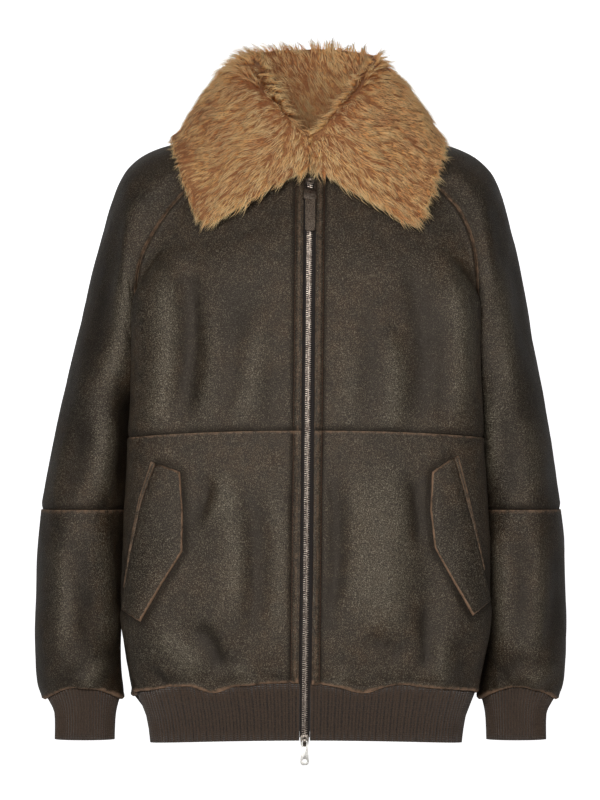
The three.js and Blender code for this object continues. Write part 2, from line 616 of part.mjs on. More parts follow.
// Gives faces of the shell a thickness, from one height over it to another, and stops them just short of
// their rim
function thicken(faces, high, low, pullBack) {
  const edges = new Map();
  for (const f of faces) f.forEach((a, i) => edges.set(a + " " + f[(i + 1) % 4], [a, f[(i + 1) % 4]]));
  const rim = [...edges.values()].filter(([a, b]) => !edges.has(b + " " + a));
  const pulls = new Map();
  for (const [a, b] of rim) {
    const run = shell.points[b].clone().sub(shell.points[a]);
    for (const v of [a, b]) {
      const pull = new THREE.Vector3().crossVectors(shellNormals[v], run).normalize();
      pulls.set(v, [...(pulls.get(v) ?? []), pull]);
    }
  }
  const used = [...new Set(faces.flat())];
  const place = new Map(used.map((v, i) => [v, i]));
  const middle = used.map((v) => {
    const p = shell.points[v].clone();
    const [one, two] = pulls.get(v) ?? [];
    if (!one) return p;
    const share = pullBack / Math.max(1 + one.dot(two), 0.4);
    return p.addScaledVector(one, share).addScaledVector(two, share);
  });
  const lift = (height) => used.map((v, i) => middle[i].clone().addScaledVector(shellNormals[v], height));
  const n = used.length;
  const closed = [];
  for (const f of faces) {
    const [a, b, c, d] = f.map((v) => place.get(v));
    closed.push([a, b, c, d], [d + n, c + n, b + n, a + n]);
  }
  for (const edge of rim) {
    const [a, b] = edge.map((v) => place.get(v));
    // Both panels of a seam split its twisted rim along the same diagonal
    if (edge[0] < edge[1]) closed.push([b, a, b + n], [a, a + n, b + n]);
    else closed.push([b, a, a + n], [b, a + n, b + n]);
  }
  return meshOf([...lift(high), ...lift(low)], closed);
}
function panelGeometry(panel) {
  const faces = shell.faces.filter((f) => f.panel === panel).map((f) => f.corners);
  return thicken(faces, 0, -HIDE_THICKNESS, SEAM_HALF_GAP);
}

// A closed wall between two grids of points of the same size
function wallBetween(outer, inner, flip) {
  const rows = outer.length;
  const columns = outer[0].length;
  const n = rows * columns;
  const at = (i, j) => i * columns + j;
  const faces = [];
  const put = (f) => faces.push(flip ? f.reverse() : f);
  for (let i = 0; i + 1 < rows; i += 1) {
    for (let j = 0; j + 1 < columns; j += 1) {
      put([at(i, j), at(i + 1, j), at(i + 1, j + 1), at(i, j + 1)]);
      put([at(i, j + 1) + n, at(i + 1, j + 1) + n, at(i + 1, j) + n, at(i, j) + n]);
    }
  }
  for (let j = 0; j + 1 < columns; j += 1) {
    put([at(0, j), at(0, j + 1), at(0, j + 1) + n, at(0, j) + n]);
    put([at(rows - 1, j + 1), at(rows - 1, j), at(rows - 1, j) + n, at(rows - 1, j + 1) + n]);
  }
  for (let i = 0; i + 1 < rows; i += 1) {
    put([at(i + 1, 0), at(i, 0), at(i, 0) + n, at(i + 1, 0) + n]);
    put([at(i, columns - 1), at(i + 1, columns - 1), at(i + 1, columns - 1) + n, at(i, columns - 1) + n]);
  }
  return meshOf([...outer.flat(), ...inner.flat()], faces);
}

// A knitted band from rows of fine points: ribs stand out of the outer skin and the inner one is plain.
// Each inner column backs a number of fine ones. A loop closes on itself.
function ribbedBand(rows, backs, loop) {
  const fine = rows[0].length;
  const count = rows.length;
  const plain = loop ? fine / backs : (fine - 1) / backs + 1;
  const outer = [];
  const inner = [];
  rows.forEach((row) => {
    row.forEach((p, j) => {
      const before = row[loop ? (j + fine - 1) % fine : Math.max(j - 1, 0)];
      const after = row[loop ? (j + 1) % fine : Math.min(j + 1, fine - 1)];
      const out = new THREE.Vector3(after.y - before.y, before.x - after.x, 0).normalize();
      outer.push(p.clone().addScaledVector(out, j % 2 ? RIB_RELIEF : -RIB_RELIEF));
      if (j % backs === 0) inner.push(p.clone().addScaledVector(out, -RIB_THICKNESS));
    });
  });
  const n = outer.length;
  const faces = [];
  const o = (i, j) => i * fine + (loop ? j % fine : j);
  const k = (i, j) => n + i * plain + (loop ? j % plain : j);
  const fineSteps = loop ? fine : fine - 1;
  const plainSteps = loop ? plain : plain - 1;
  for (let i = 0; i + 1 < count; i += 1) {
    for (let j = 0; j < fineSteps; j += 1) faces.push([o(i, j), o(i + 1, j), o(i + 1, j + 1), o(i, j + 1)]);
    for (let j = 0; j < plainSteps; j += 1) faces.push([k(i, j + 1), k(i + 1, j + 1), k(i + 1, j), k(i, j)]);
  }
  for (const [row, up] of [
    [0, true],
    [count - 1, false],
  ]) {
    for (let j = 0; j < fineSteps; j += 1) {
      const m = Math.floor((j + backs / 2) / backs);
      faces.push(up ? [o(row, j), o(row, j + 1), k(row, m)] : [o(row, j + 1), o(row, j), k(row, m)]);
    }
    for (let m = 0; m < plainSteps; m += 1) {
      const j = m * backs + backs / 2;
      faces.push(up ? [k(row, m), o(row, j), k(row, m + 1)] : [k(row, m + 1), o(row, j), k(row, m)]);
    }
  }
  for (let i = 0; i + 1 < count && !loop; i += 1) {
    faces.push([o(i + 1, 0), o(i, 0), k(i, 0), k(i + 1, 0)]);
    faces.push([o(i, fine - 1), o(i + 1, fine - 1), k(i + 1, plain - 1), k(i, plain - 1)]);
  }
  return meshOf([...outer, ...inner], faces);
}

// Even steps along a line of points in space
function stepsAlong(line, steps) {
  const run = [0];
  for (let i = 1; i < line.length; i += 1) run.push(run[i - 1] + line[i].distanceTo(line[i - 1]));
  const out = [];
  let i = 0;
  for (let s = 0; s <= steps; s += 1) {
    const at = (run[run.length - 1] * s) / steps;
    while (i < run.length - 2 && run[i + 1] < at) i += 1;
    out.push(line[i].clone().lerp(line[i + 1], clamp((at - run[i]) / (run[i + 1] - run[i]), 0, 1)));
  }
  return out;
}

// The hem band follows the leather's wavy edge at its top and runs straight at its bottom. Its columns
// go from the zip's left side round the back to its right side.
function hemBandGeometry() {
  const backs = 8;
  const fine = Math.round((2 * HEM_ROUND) / RIB_PITCH / backs / 2) * backs * 2;
  const leather = [...frontRow(1, HEM), ...backRow(HEM).slice(1), ...frontRow(-1, HEM).reverse().slice(1)];
  leather[0].x -= CHANNEL_HALF - RIB_END;
  leather.at(-1).x += CHANNEL_HALF - RIB_END;
  const top = stepsAlong(leather, fine).map((p) => {
    const out = new THREE.Vector3(p.x, p.y, 0).normalize();
    return p.addScaledVector(out, -HEM_INSET).add(new THREE.Vector3(0, 0, -HEM_SEAT));
  });
  const lower = HEM_BAND.map((band) => {
    const halves = [1, -1].map((side) => {
      const start = side * zipX(band.z) + RIB_END;
      const arcs = [...frontArcs(start, band, band.sideX, SIDE_SEAM_Y), backArc(band, band.sideX, SIDE_SEAM_Y, 1)];
      return evenSteps(arcs, fine / 2).map(([x, y]) => {
        const drop = HEM_BOTTOM_DROP * (x / band.sideX) ** 2;
        return new THREE.Vector3(side * x, y, band.z - drop);
      });
    });
    return [...halves[0], ...halves[1].reverse().slice(1)];
  });
  return ribbedBand([top, ...lower], backs, false);
}

function cuffGeometry(side) {
  const backs = 4;
  const round = 2 * Math.PI * 38;
  const fine = Math.round((round / RIB_PITCH) * 2 / backs) * backs;
  const rows = CUFF.map((ring, i) => {
    const points = [];
    for (let j = 0; j < fine; j += 1) {
      const angle = (2 * Math.PI * j) / fine;
      const half = (ring.outX - ring.inX) / 2;
      const centre = side * ((ring.outX + ring.inX) / 2) + lean(ring.z);
      const share = [1, 0.5, 0][i];
      const arch = share * (CUFF_ARCH * Math.sin(angle) ** 2 + CUFF_TILT * (1 - Math.cos(angle)));
      const x = centre + half * Math.cos(angle);
      points.push(new THREE.Vector3(x, CUFF_Y + ring.depth * Math.sin(angle), ring.z + arch));
    }
    return points;
  });
  return ribbedBand(rows, backs, true);
}

// Nearest place on the shell to a point, with the way out of the jacket there
const shellTriangles = shell.faces.flatMap(({ corners: [a, b, c, d] }) => [
  [a, b, c],
  [a, c, d],
]);
function nearestOnShell(p) {
  const triangle = new THREE.Triangle();
  const found = new THREE.Vector3();
  const best = { distance: Infinity, point: new THREE.Vector3(), out: new THREE.Vector3() };
  for (const t of shellTriangles) {
    if (shell.points[t[0]].distanceToSquared(p) > (best.distance + 60) ** 2) continue;
    triangle.set(...t.map((i) => shell.points[i]));
    triangle.closestPointToPoint(p, found);
    const distance = found.distanceTo(p);
    if (distance < best.distance) {
      best.distance = distance;
      best.point.copy(found);
      triangle.getNormal(best.out);
    }
  }
  return best;
}

// The neck edge of one half of the shell, read by direction round the neck
function neckEdge(side) {
  const back = backRow(0);
  const start = frontRow(side, 0)[0];
  const line = [
    new THREE.Vector3(zipX(start.z) + side * COLLAR_END, start.y, start.z),
    ...frontRow(side, 0),
    ...sleeveRing(side, 0).slice(1),
    ...(side > 0 ? back.slice(1, BACK_HALF + 1) : back.slice(BACK_HALF, -1).reverse()),
  ];
  const turnOf = (p) => (Math.atan2(side * p.x, -p.y - 3) * 180) / Math.PI;
  return (turn) => {
    let i = 0;
    while (i < line.length - 2 && turnOf(line[i + 1]) < turn) i += 1;
    const share = (turn - turnOf(line[i])) / (turnOf(line[i + 1]) - turnOf(line[i]));
    return line[i].clone().lerp(line[i + 1], clamp(share, 0, 1));
  };
}

// The collar is one thick sheet, hooked over from the neck seam to the leaf's edge. Its leather side is
// drawn first, kept clear of the jacket, and the wool side stands off it.
function collarGeometry() {
  const half = (side) => {
    const neck = neckEdge(side);
    const sections = [];
    for (let i = 0; i <= COLLAR_HALF; i += 1) {
      const turn = (180 * i) / COLLAR_HALF;
      const read = (column) => readTable(COLLAR, "turn", turn, column);
      const middle = zipX(0) * (1 - i / COLLAR_HALF);
      const base = neck(turn);
      const top = new THREE.Vector3(side * read("topX") + middle, read("topY"), read("topZ"));
      const leaf = new THREE.Vector3(side * read("leafX") + middle, read("leafY"), read("leafZ"));
      const away = new THREE.Vector3(leaf.x - base.x, leaf.y - base.y, 0).normalize();
      if (i === 0) away.set(0, -1, 0);
      const points = COLLAR_ACROSS.map(({ part, share }) => {
        const up = new THREE.Vector3(0, 0, 1);
        if (part === "stand") {
          const stand = top.clone().addScaledVector(away, -COLLAR_TURN_HALF);
          return base.clone().addScaledVector(up, COLLAR_SEAT).lerp(stand, share);
        }
        if (part === "turn") return top.clone().addScaledVector(up, COLLAR_TURN_HALF);
        const from = top.clone().addScaledVector(away, COLLAR_TURN_HALF);
        const knee = from.clone().lerp(leaf, 0.45).addScaledVector(up, 0.1 * from.distanceTo(leaf));
        return new THREE.QuadraticBezierCurve3(from, knee, leaf).getPoint(share);
      });
      sections.push(points);
    }
    return sections;
  };
  const sections = [...half(1), ...half(-1).reverse().slice(1)];
  const leather = COLLAR_ACROSS.map((across, s) => sections.map((section) => section[s]));
  leather.slice(4).forEach((row) => {
    row.forEach((p) => {
      const near = nearestOnShell(p);
      const height = p.clone().sub(near.point).dot(near.out);
      if (height < COLLAR_CLEARANCE) p.addScaledVector(near.out, COLLAR_CLEARANCE - height);
    });
  });
  const columns = sections.length;
  const rows = leather.length;
  const wool = leather.map((row, s) =>
    row.map((p, i) => {
      const round = row[Math.min(i + 1, columns - 1)].clone().sub(row[Math.max(i - 1, 0)]);
      const across = leather[Math.min(s + 1, rows - 1)][i].clone().sub(leather[Math.max(s - 1, 0)][i]);
      const out = new THREE.Vector3().crossVectors(across, round).normalize();
      const { wool: height, past } = COLLAR_ACROSS[s];
      const end = Math.min(i, columns - 1 - i);
      const low = clamp(0.7 + 0.15 * end, 0, 1);
      const q = p.clone().addScaledVector(out, height * low);
      q.addScaledVector(across.normalize(), past * low);
      const side = i < columns / 2 ? 1 : -1;
      const gap = side * (q.x - zipX(q.z));
      if (end < 4 && gap < 0.8) q.x = zipX(q.z) + side * 0.8;
      if (s === 0) q.z = p.z;
      return q;
    }),
  );
  return wallBetween(wool, leather, false);
}

// What lies on a front panel: a layer over the panel's own points, cut to an outline seen from the front
function patchOnPanel(panel, corners, thickness) {
  const faces = shell.faces.filter((f) => f.panel === panel).map((f) => f.corners);
  const layer = thicken(faces, FLAP_CLEARANCE + thickness, FLAP_CLEARANCE, 0);
  const cutter = extrude(new THREE.Shape(corners.map(([x, z]) => new THREE.Vector2(x, z))), CUTTER_DEPTH);
  cutter.translate(0, -CUTTER_DEPTH / 2 - CUTTER_START, 0);
  return geometryFrom(solidFrom(layer).intersect(solidFrom(cutter)));
}
function flapGeometry({ side, seam, free }) {
  const corners = [...seam, ...[...free].reverse()].map((p) => [side * p.x, p.z]);
  return patchOnPanel("front_lower_" + sideName(side), corners, FLAP_THICKNESS);
}
function weltGeometry({ side, seam }) {
  const inner = seam.slice(0, 4).map((p) => [side * (p.x + WELT_GAP), p.z]);
  const outer = seam.slice(0, 4).map((p, i) => [side * (p.x + WELT_WIDTH - 1.5 * i), p.z + 2]);
  return patchOnPanel("front_lower_" + sideName(side), [...inner, ...outer.reverse()], WELT_THICKNESS);
}

// Height by height, the front of the leather strips beside the zip
function stripFront(z) {
  const points = [];
  for (let row = 0; row <= HEM; row += 1) {
    const p = frontRow(1, row)[0];
    points.push({ z: p.z, y: p.y });
  }
  for (const band of HEM_BAND) points.push({ z: band.z, y: band.frontY - STRIP_HEIGHT });
  return readTable(points, "z", z, "y");
}

// A strip that runs down beside or along the middle of the zip
function zipStrip(fromX, toX, recess, thickness, topZ, bottomZ) {
  const steps = 24;
  const front = [];
  const back = [];
  for (let i = 0; i <= steps; i += 1) {
    const z = mix(topZ, bottomZ, i / steps);
    const y = stripFront(z) + recess;
    front.push([fromX, toX].map((x) => new THREE.Vector3(zipX(z) + x, y, z)));
    back.push([fromX, toX].map((x) => new THREE.Vector3(zipX(z) + x, y + thickness, z)));
  }
  return wallBetween(front, back, false);
}

const extrude = (shape, depth) => {
  const geometry = new THREE.ExtrudeGeometry(shape, { depth, bevelEnabled: false, curveSegments: 6 });
  geometry.translate(0, 0, -depth / 2);
  geometry.rotateX(Math.PI / 2);
  return geometry;
};
// A flat outline from half widths at heights, closed on the other side; x across and z up
function outline(halves) {
  const shape = new THREE.Shape();
  halves.forEach(([x, z], i) => (i ? shape.lineTo(-x, z) : shape.moveTo(-x, z)));
  [...halves].reverse().forEach(([x, z]) => shape.lineTo(x, z));
  shape.closePath();
  return shape;
}
function solidFrom(geometry) {
  const bare = geometry.index ? geometry.toNonIndexed() : geometry.clone();
  bare.deleteAttribute("normal");
  bare.deleteAttribute("uv");
  const merged = mergeVertices(bare, 1e-3);
  return new wasm.Manifold(
    new wasm.Mesh({
      numProp: 3,
      vertProperties: merged.attributes.position.array,
      triVerts: new Uint32Array(merged.index.array),
    }),
  );
}
function geometryFrom(solid) {
  const mesh = solid.getMesh();
  const geometry = new THREE.BufferGeometry();
  geometry.setAttribute("position", new THREE.BufferAttribute(mesh.vertProperties, 3));
  geometry.setIndex(new THREE.BufferAttribute(mesh.triVerts, 1));
  geometry.computeVertexNormals();
  return geometry;
}

const joined = (geometries) => geometryFrom(geometries.map(solidFrom).reduce((a, b) => a.add(b)));

// A slider's front plate with the bridge that its pull hangs from. The hinge axis is at the local origin
// and the plate stands behind it.
function sliderGeometry(plateBack) {
  const w = SLIDER.width / 2;
  const plate = extrude(
    outline([
      [w * 0.72, 7],
      [w, 4],
      [w * 0.8, -5.5],
      [w * 0.5, 7 - SLIDER.height - 1],
    ]),
    SLIDER.plate,
  );
  plate.translate(0, plateBack - SLIDER.plate / 2, 0);
  const arch = new THREE.Shape();
  arch.moveTo(-3.6, 0);
  arch.lineTo(-3.6, 1.8);
  arch.quadraticCurveTo(-3.4, 3.4, 0, 3.5);
  arch.quadraticCurveTo(3.4, 3.4, 3.6, 1.8);
  arch.lineTo(3.6, 0);
  arch.closePath();
  const eye = new THREE.Path();
  eye.absarc(0, 0, 1.55, 0, 2 * Math.PI, true);
  const depth = plateBack - SLIDER.plate + 0.4;
  const bridge = new THREE.Shape();
  bridge.moveTo(-4.2, depth);
  bridge.lineTo(-4.2, -0.6);
  bridge.quadraticCurveTo(-3.6, -2.9, 0, -2.9);
  bridge.quadraticCurveTo(3.6, -2.9, 4.2, -0.6);
  bridge.lineTo(4.2, depth);
  bridge.closePath();
  bridge.holes.push(eye);
  const loop = new THREE.ExtrudeGeometry(bridge, { depth: 3, bevelEnabled: false, curveSegments: 8 });
  loop.translate(0, 0, -1.5);
  // The shape's x runs up and its y runs back; the depth becomes the width across the zip
  loop.applyMatrix4(new THREE.Matrix4().makeBasis(
    new THREE.Vector3(0, 0, 1),
    new THREE.Vector3(0, 1, 0),
    new THREE.Vector3(-1, 0, 0),
  ));
  return joined([plate, loop]);
}

function roundedFrame(width, height, bar) {
  const shape = outline([
    [width / 2 - 3, bar / 2],
    [width / 2 - 0.8, bar / 2 - 1],
    [width / 2, bar / 2 - 3],
    [width / 2, bar / 2 - height],
  ]);
  const w = width / 2 - bar;
  const corner = 0.45;
  const hole = new THREE.Path();
  hole.moveTo(-w, -bar / 2 - corner);
  hole.lineTo(-w, bar * 1.2 - height);
  hole.lineTo(w, bar * 1.2 - height);
  hole.lineTo(w, -bar / 2 - corner);
  hole.lineTo(w - corner, -bar / 2);
  hole.lineTo(corner - w, -bar / 2);
  hole.closePath();
  shape.holes.push(hole);
  return shape;
}
function upperPullGeometry() {
  const bail = extrude(roundedFrame(BAIL.width, BAIL.height, BAIL.bar), BAIL.bar);
  const top = BAIL.bar / 2 - BAIL.height;
  const w = PLATE.width / 2;
  const plate = extrude(
    outline([
      [w - 1, top + 0.6],
      [w, top - 0.4],
      [w, top - PLATE.height + 1],
      [w - 1, top - PLATE.height],
    ]),
    PLATE.thickness,
  );
  return joined([bail, plate]);
}
function upperTabGeometry() {
  const top = BAIL.bar / 2 - BAIL.height - PLATE.height - 0.3;
  const w = TAB.width / 2;
  return extrude(
    outline([
      [w, top],
      [w, top - TAB.height + 3],
      [w - 1.2, top - TAB.height + 0.8],
      [w - 3.4, top - TAB.height],
    ]),
    TAB.thickness,
  );
}
function lowerPullGeometry() {
  const frame = extrude(roundedFrame(LOWER_PULL.neck + 0.6, 8.5, 1.7), 1.7);
  const top = -7.2;
  const bottom = top - LOWER_PULL.height;
  const shape = outline([
    [LOWER_PULL.neck / 2, top],
    [LOWER_PULL.foot / 2, bottom + 4],
    [LOWER_PULL.foot / 2 - 0.8, bottom + 1.2],
    [LOWER_PULL.foot / 2 - 2.6, bottom],
  ]);
  const hole = new THREE.Path();
  hole.absellipse(0, bottom + 5, LOWER_PULL.holeWidth / 2, LOWER_PULL.holeHeight / 2, 0, 2 * Math.PI, true);
  shape.holes.push(hole);
  return joined([frame, extrude(shape, LOWER_PULL.thickness)]);
}

const jacket = new THREE.Group();
function addPiece(name, geometry, finish, parent = jacket) {
  const mesh = new THREE.Mesh(geometry, new THREE.MeshStandardMaterial(finish));
  mesh.name = name;
  parent.add(mesh);
}

for (const panel of new Set(shell.faces.map((f) => f.panel))) addPiece(panel, panelGeometry(panel), HIDE);
for (const side of [-1, 1]) addPiece("cuff_" + sideName(side), cuffGeometry(side), KNIT);
addPiece("hem_rib", hemBandGeometry(), KNIT);
addPiece("collar_fur", collarGeometry(), WOOL);
for (const pocket of POCKETS) {
  addPiece("pocket_flap_" + sideName(pocket.side), flapGeometry(pocket), HIDE);
  addPiece("pocket_welt_" + sideName(pocket.side), weltGeometry(pocket), HIDE);
}

const chainTop = UPPER_HINGE_Z + 6;
const chainBottom = LOWER_HINGE_Z + 4;
addPiece("zip_chain", zipStrip(-CHAIN_HALF, CHAIN_HALF, CHAIN_RECESS, CHAIN_THICKNESS, chainTop, chainBottom), STEEL);
const tapeEdge = [CHAIN_HALF + 0.3, CHANNEL_HALF - 0.8];
const tapeRecess = CHAIN_RECESS + 0.8;
addPiece("zip_tape_L", zipStrip(tapeEdge[0], tapeEdge[1], tapeRecess, TAPE_THICKNESS, chainTop, TAPE_END_Z), TAPE);
addPiece("zip_tape_R", zipStrip(-tapeEdge[1], -tapeEdge[0], tapeRecess, TAPE_THICKNESS, chainTop, TAPE_END_Z), TAPE);

for (const [name, hingeZ, finish, tilt] of [
  ["zip_slider_upper", UPPER_HINGE_Z, GUNMETAL, UPPER_TILT],
  ["zip_slider_lower", LOWER_HINGE_Z, STEEL, 0],
]) {
  const holder = new THREE.Group();
  holder.position.set(zipX(hingeZ), stripFront(hingeZ) + CHAIN_RECESS - HINGE_FORWARD, hingeZ);
  jacket.add(holder);
  const slope = new THREE.Group();
  slope.rotation.x = -tilt;
  holder.add(slope);
  addPiece(name, sliderGeometry(PLATE_BACK), finish, slope);
  if (tilt) {
    addPiece("upper_pull", upperPullGeometry(), GUNMETAL, slope);
    addPiece("upper_pull_tab", upperTabGeometry(), TAUPE, slope);
  } else {
    addPiece("lower_pull", lowerPullGeometry(), STEEL, slope);
  }
}

export default jacket;
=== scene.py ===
"""A shearling bomber jacket, filled out with no wearer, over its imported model. Metres, front at -Y."""

import json
import math
import random
from functools import partial

import bmesh
import bpy
import numpy as np
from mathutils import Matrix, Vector, noise
from mathutils.bvhtree import BVHTree
from mathutils.kdtree import KDTree

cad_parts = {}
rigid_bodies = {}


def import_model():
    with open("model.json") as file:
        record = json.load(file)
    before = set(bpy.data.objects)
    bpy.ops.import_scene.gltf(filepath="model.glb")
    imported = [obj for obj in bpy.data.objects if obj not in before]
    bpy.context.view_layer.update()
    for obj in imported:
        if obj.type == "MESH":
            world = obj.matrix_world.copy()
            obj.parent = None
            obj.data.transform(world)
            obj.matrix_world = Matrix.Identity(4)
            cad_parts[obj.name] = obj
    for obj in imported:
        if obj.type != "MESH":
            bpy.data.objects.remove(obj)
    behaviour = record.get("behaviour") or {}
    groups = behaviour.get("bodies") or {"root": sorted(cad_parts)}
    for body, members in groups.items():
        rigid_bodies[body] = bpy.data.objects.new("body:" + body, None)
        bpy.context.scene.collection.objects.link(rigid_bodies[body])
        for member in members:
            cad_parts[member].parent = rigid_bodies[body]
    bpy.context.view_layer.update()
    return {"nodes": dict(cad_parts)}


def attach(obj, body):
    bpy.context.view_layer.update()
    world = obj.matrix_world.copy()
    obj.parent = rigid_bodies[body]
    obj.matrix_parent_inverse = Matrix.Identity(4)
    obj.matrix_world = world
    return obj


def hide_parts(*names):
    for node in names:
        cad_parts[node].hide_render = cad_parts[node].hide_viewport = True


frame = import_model()
nodes = frame["nodes"]

# The camera stands far in front at the jacket's mid height, as for a catalogue picture.
CAMERA_FAR = 9.0
VIEW_HEIGHT = 0.936
SENSOR = 36
camera = bpy.data.objects.new("camera", bpy.data.cameras.new("camera"))
bpy.context.scene.collection.objects.link(camera)
camera.location = (-0.0070, -0.06 - CAMERA_FAR, -0.2925)
camera.rotation_euler = (math.pi / 2, 0, 0)
camera.data.lens = SENSOR * CAMERA_FAR / VIEW_HEIGHT
camera.data.clip_start = 0.1
camera.data.clip_end = 50
bpy.context.scene.camera = camera
bpy.context.scene.view_settings.view_transform = "Standard"

# The studio: one pale sheet that runs from the floor up behind, clear from its back so that views from
# there see past it, four soft lights and a pale surround.
FLOOR_Z = -0.79
FLOOR_END = 1.6
BEND_RADIUS = 1.2
BEND_STEPS = 12
floor_line = [(-12.0, FLOOR_Z), (FLOOR_END, FLOOR_Z)]
for step in range(1, BEND_STEPS + 1):
    turn = step / BEND_STEPS * math.pi / 2
    bend_y = FLOOR_END + BEND_RADIUS * math.sin(turn)
    floor_line.append((bend_y, FLOOR_Z + BEND_RADIUS * (1 - math.cos(turn))))
floor_line.append((FLOOR_END + BEND_RADIUS, 6.0))
floor_mesh = bpy.data.meshes.new("studio_floor")
floor_mesh.from_pydata(
    [(x, y, z) for y, z in floor_line for x in (-9.0, 9.0)],
    [],
    [(2 * i, 2 * i + 1, 2 * i + 3, 2 * i + 2) for i in range(len(floor_line) - 1)],
)
floor_mesh.shade_smooth()


def new_object(name, data):
    made = bpy.data.objects.new(name, data)
    bpy.context.scene.collection.objects.link(made)
    return made


floor = new_object("studio_floor", floor_mesh)
floor_paint = bpy.data.materials.new("pale_floor")
floor_paint.use_nodes = True
floor_nodes = floor_paint.node_tree.nodes
wire = floor_paint.node_tree.links.new
floor_shader = floor_nodes["Principled BSDF"]
floor_shader.inputs["Base Color"].default_value = (0.93, 0.93, 0.93, 1)
floor_shader.inputs["Roughness"].default_value = 0.9
floor_shader.inputs["Emission Color"].default_value = (1, 1, 1, 1)
floor_seen = floor_nodes.new("ShaderNodeLightPath")
floor_glow = floor_nodes.new("ShaderNodeMath")
floor_glow.operation = "MULTIPLY"
floor_glow.inputs[1].default_value = 0.95
wire(floor_seen.outputs["Is Camera Ray"], floor_glow.inputs[0])
wire(floor_glow.outputs["Value"], floor_shader.inputs["Emission Strength"])
floor_side = floor_nodes.new("ShaderNodeNewGeometry")
floor_clear = floor_nodes.new("ShaderNodeBsdfTransparent")
floor_either = floor_nodes.new("ShaderNodeMixShader")
wire(floor_side.outputs["Backfacing"], floor_either.inputs["Fac"])
wire(floor_shader.outputs["BSDF"], floor_either.inputs[1])
wire(floor_clear.outputs["BSDF"], floor_either.inputs[2])
wire(floor_either.outputs["Shader"], floor_nodes["Material Output"].inputs["Surface"])
floor_mesh.materials.append(floor_paint)

LIGHTS_AIM = Vector((0, 0, -0.35))
for name, place, size, tall, power in (
    ("front_light", (-0.3, -4.4, 0.5), 0.9, 0.8, 114),
    ("left_light", (-2.6, -3.2, -0.4), 0.5, 1.2, 10),
    ("right_light", (2.6, -3.2, -0.4), 0.5, 1.2, 7),
    ("top_light", (0.0, -0.8, 2.4), 1.6, 0.8, 5),
):
    lamp = bpy.data.lights.new(name, "AREA")
    lamp.shape = "RECTANGLE"
    lamp.size = size
    lamp.size_y = tall
    lamp.energy = power
    light = new_object(name, lamp)
    light.location = place
    light.rotation_euler = (LIGHTS_AIM - Vector(place)).to_track_quat("-Z", "Y").to_euler()
world = bpy.data.worlds.new("pale_room")
world.use_nodes = True
room = world.node_tree.nodes["Background"]
room.inputs["Color"].default_value = (1, 1, 1, 1)
seen = world.node_tree.nodes.new("ShaderNodeLightPath")
brightness = world.node_tree.nodes.new("ShaderNodeMapRange")
brightness.inputs["To Min"].default_value = 0.075
brightness.inputs["To Max"].default_value = 1.0
world.node_tree.links.new(seen.outputs["Is Camera Ray"], brightness.inputs["Value"])
world.node_tree.links.new(brightness.outputs["Result"], room.inputs["Strength"])
bpy.context.scene.world = world

# Leather with its wool inside: the fronts, the back and the raglan sleeves. Sheepskin is cut to panels,
# skin side out, and sewn with lapped seams whose edges wear to tan. Each panel is a finer copy of its
# solid, folded and puckered.
HIDE_THICKNESS = 0.0045
ZIP_HALF = 0.0075
STRIP_WIDTH = 0.010
SEAM_REACH = 0.0016
OUTSIDE, INSIDE, EDGE = 0, 1, 2
ELBOW_Z = -0.25
FOREARM_MIDDLE = 0.262
UPPER_ARM_MIDDLE = 0.15


def zip_x(z):
    """Where the zip's line runs across at a height."""
    return 0.0053 + 0.0102 * z


def crosses_hide(edge):
    """Whether an edge runs through the hide's thickness."""
    return abs(edge.calc_length() - HIDE_THICKNESS) < 2e-5


def merged(node):
    """A solid's mesh with its equal corners joined."""
    bm = bmesh.new()
    bm.from_mesh(nodes[node].data)
    bmesh.ops.remove_doubles(bm, verts=bm.verts, dist=1e-5)
    return bm


def cage_of(node):
    """A merged copy of a leather solid, with its outside, inside and edge faces told apart."""
    bm = merged(node)
    bmesh.ops.recalc_face_normals(bm, faces=bm.faces)
    bm.faces.ensure_lookup_table()
    side_of = {}
    for face in bm.faces:
        if any(crosses_hide(e) for e in face.edges):
            side_of[face] = EDGE
    groups = []
    for face in bm.faces:
        if face in side_of:
            continue
        group = [face]
        side_of[face] = INSIDE
        for one in group:
            for e in one.edges:
                for other in e.link_faces:
                    if other not in side_of:
                        side_of[other] = INSIDE
                        group.append(other)
        groups.append(group)

    def faces_out(group):
        total = 0.0
        for face in group:
            c = face.calc_center_median()
            middle = Vector((0, 0, c.z))
            if "sleeve" in node:
                away = FOREARM_MIDDLE if c.z < ELBOW_Z else UPPER_ARM_MIDDLE
                middle.x = away * (-1 if node.endswith("R") else 1)
            total += face.calc_area() * face.normal.dot(c - middle)
        return total

    for face in max(groups, key=faces_out):
        side_of[face] = OUTSIDE
    for face, side in side_of.items():
        face.material_index = side
    for side in (OUTSIDE, INSIDE, EDGE):
        bmesh.ops.join_triangles(
            bm,
            faces=[f for f in bm.faces if f.material_index == side],
            angle_face_threshold=math.radians(60),
            angle_shape_threshold=math.radians(70),
        )
    crease = bm.edges.layers.float.new("crease_edge")
    for e in bm.edges:
        sides = {f.material_index for f in e.link_faces}
        if len(sides) > 1:
            e[crease] = 1.0
        elif sides == {EDGE} and e.calc_face_angle(0) > math.radians(35):
            e[crease] = 1.0
    return bm


def rim_points(bm):
    """Points every two millimetres along the outer rim of a panel."""
    points = []
    for e in bm.edges:
        if {f.material_index for f in e.link_faces} == {OUTSIDE, EDGE}:
            a, b = (v.co for v in e.verts)
            steps = max(1, round((b - a).length / 0.002))
            points += [a.lerp(b, i / steps) for i in range(steps + 1)]
    return points


def tree_of(points):
    tree = KDTree(len(points))
    for i, p in enumerate(points):
        tree.insert(p, i)
    tree.balance()
    return tree


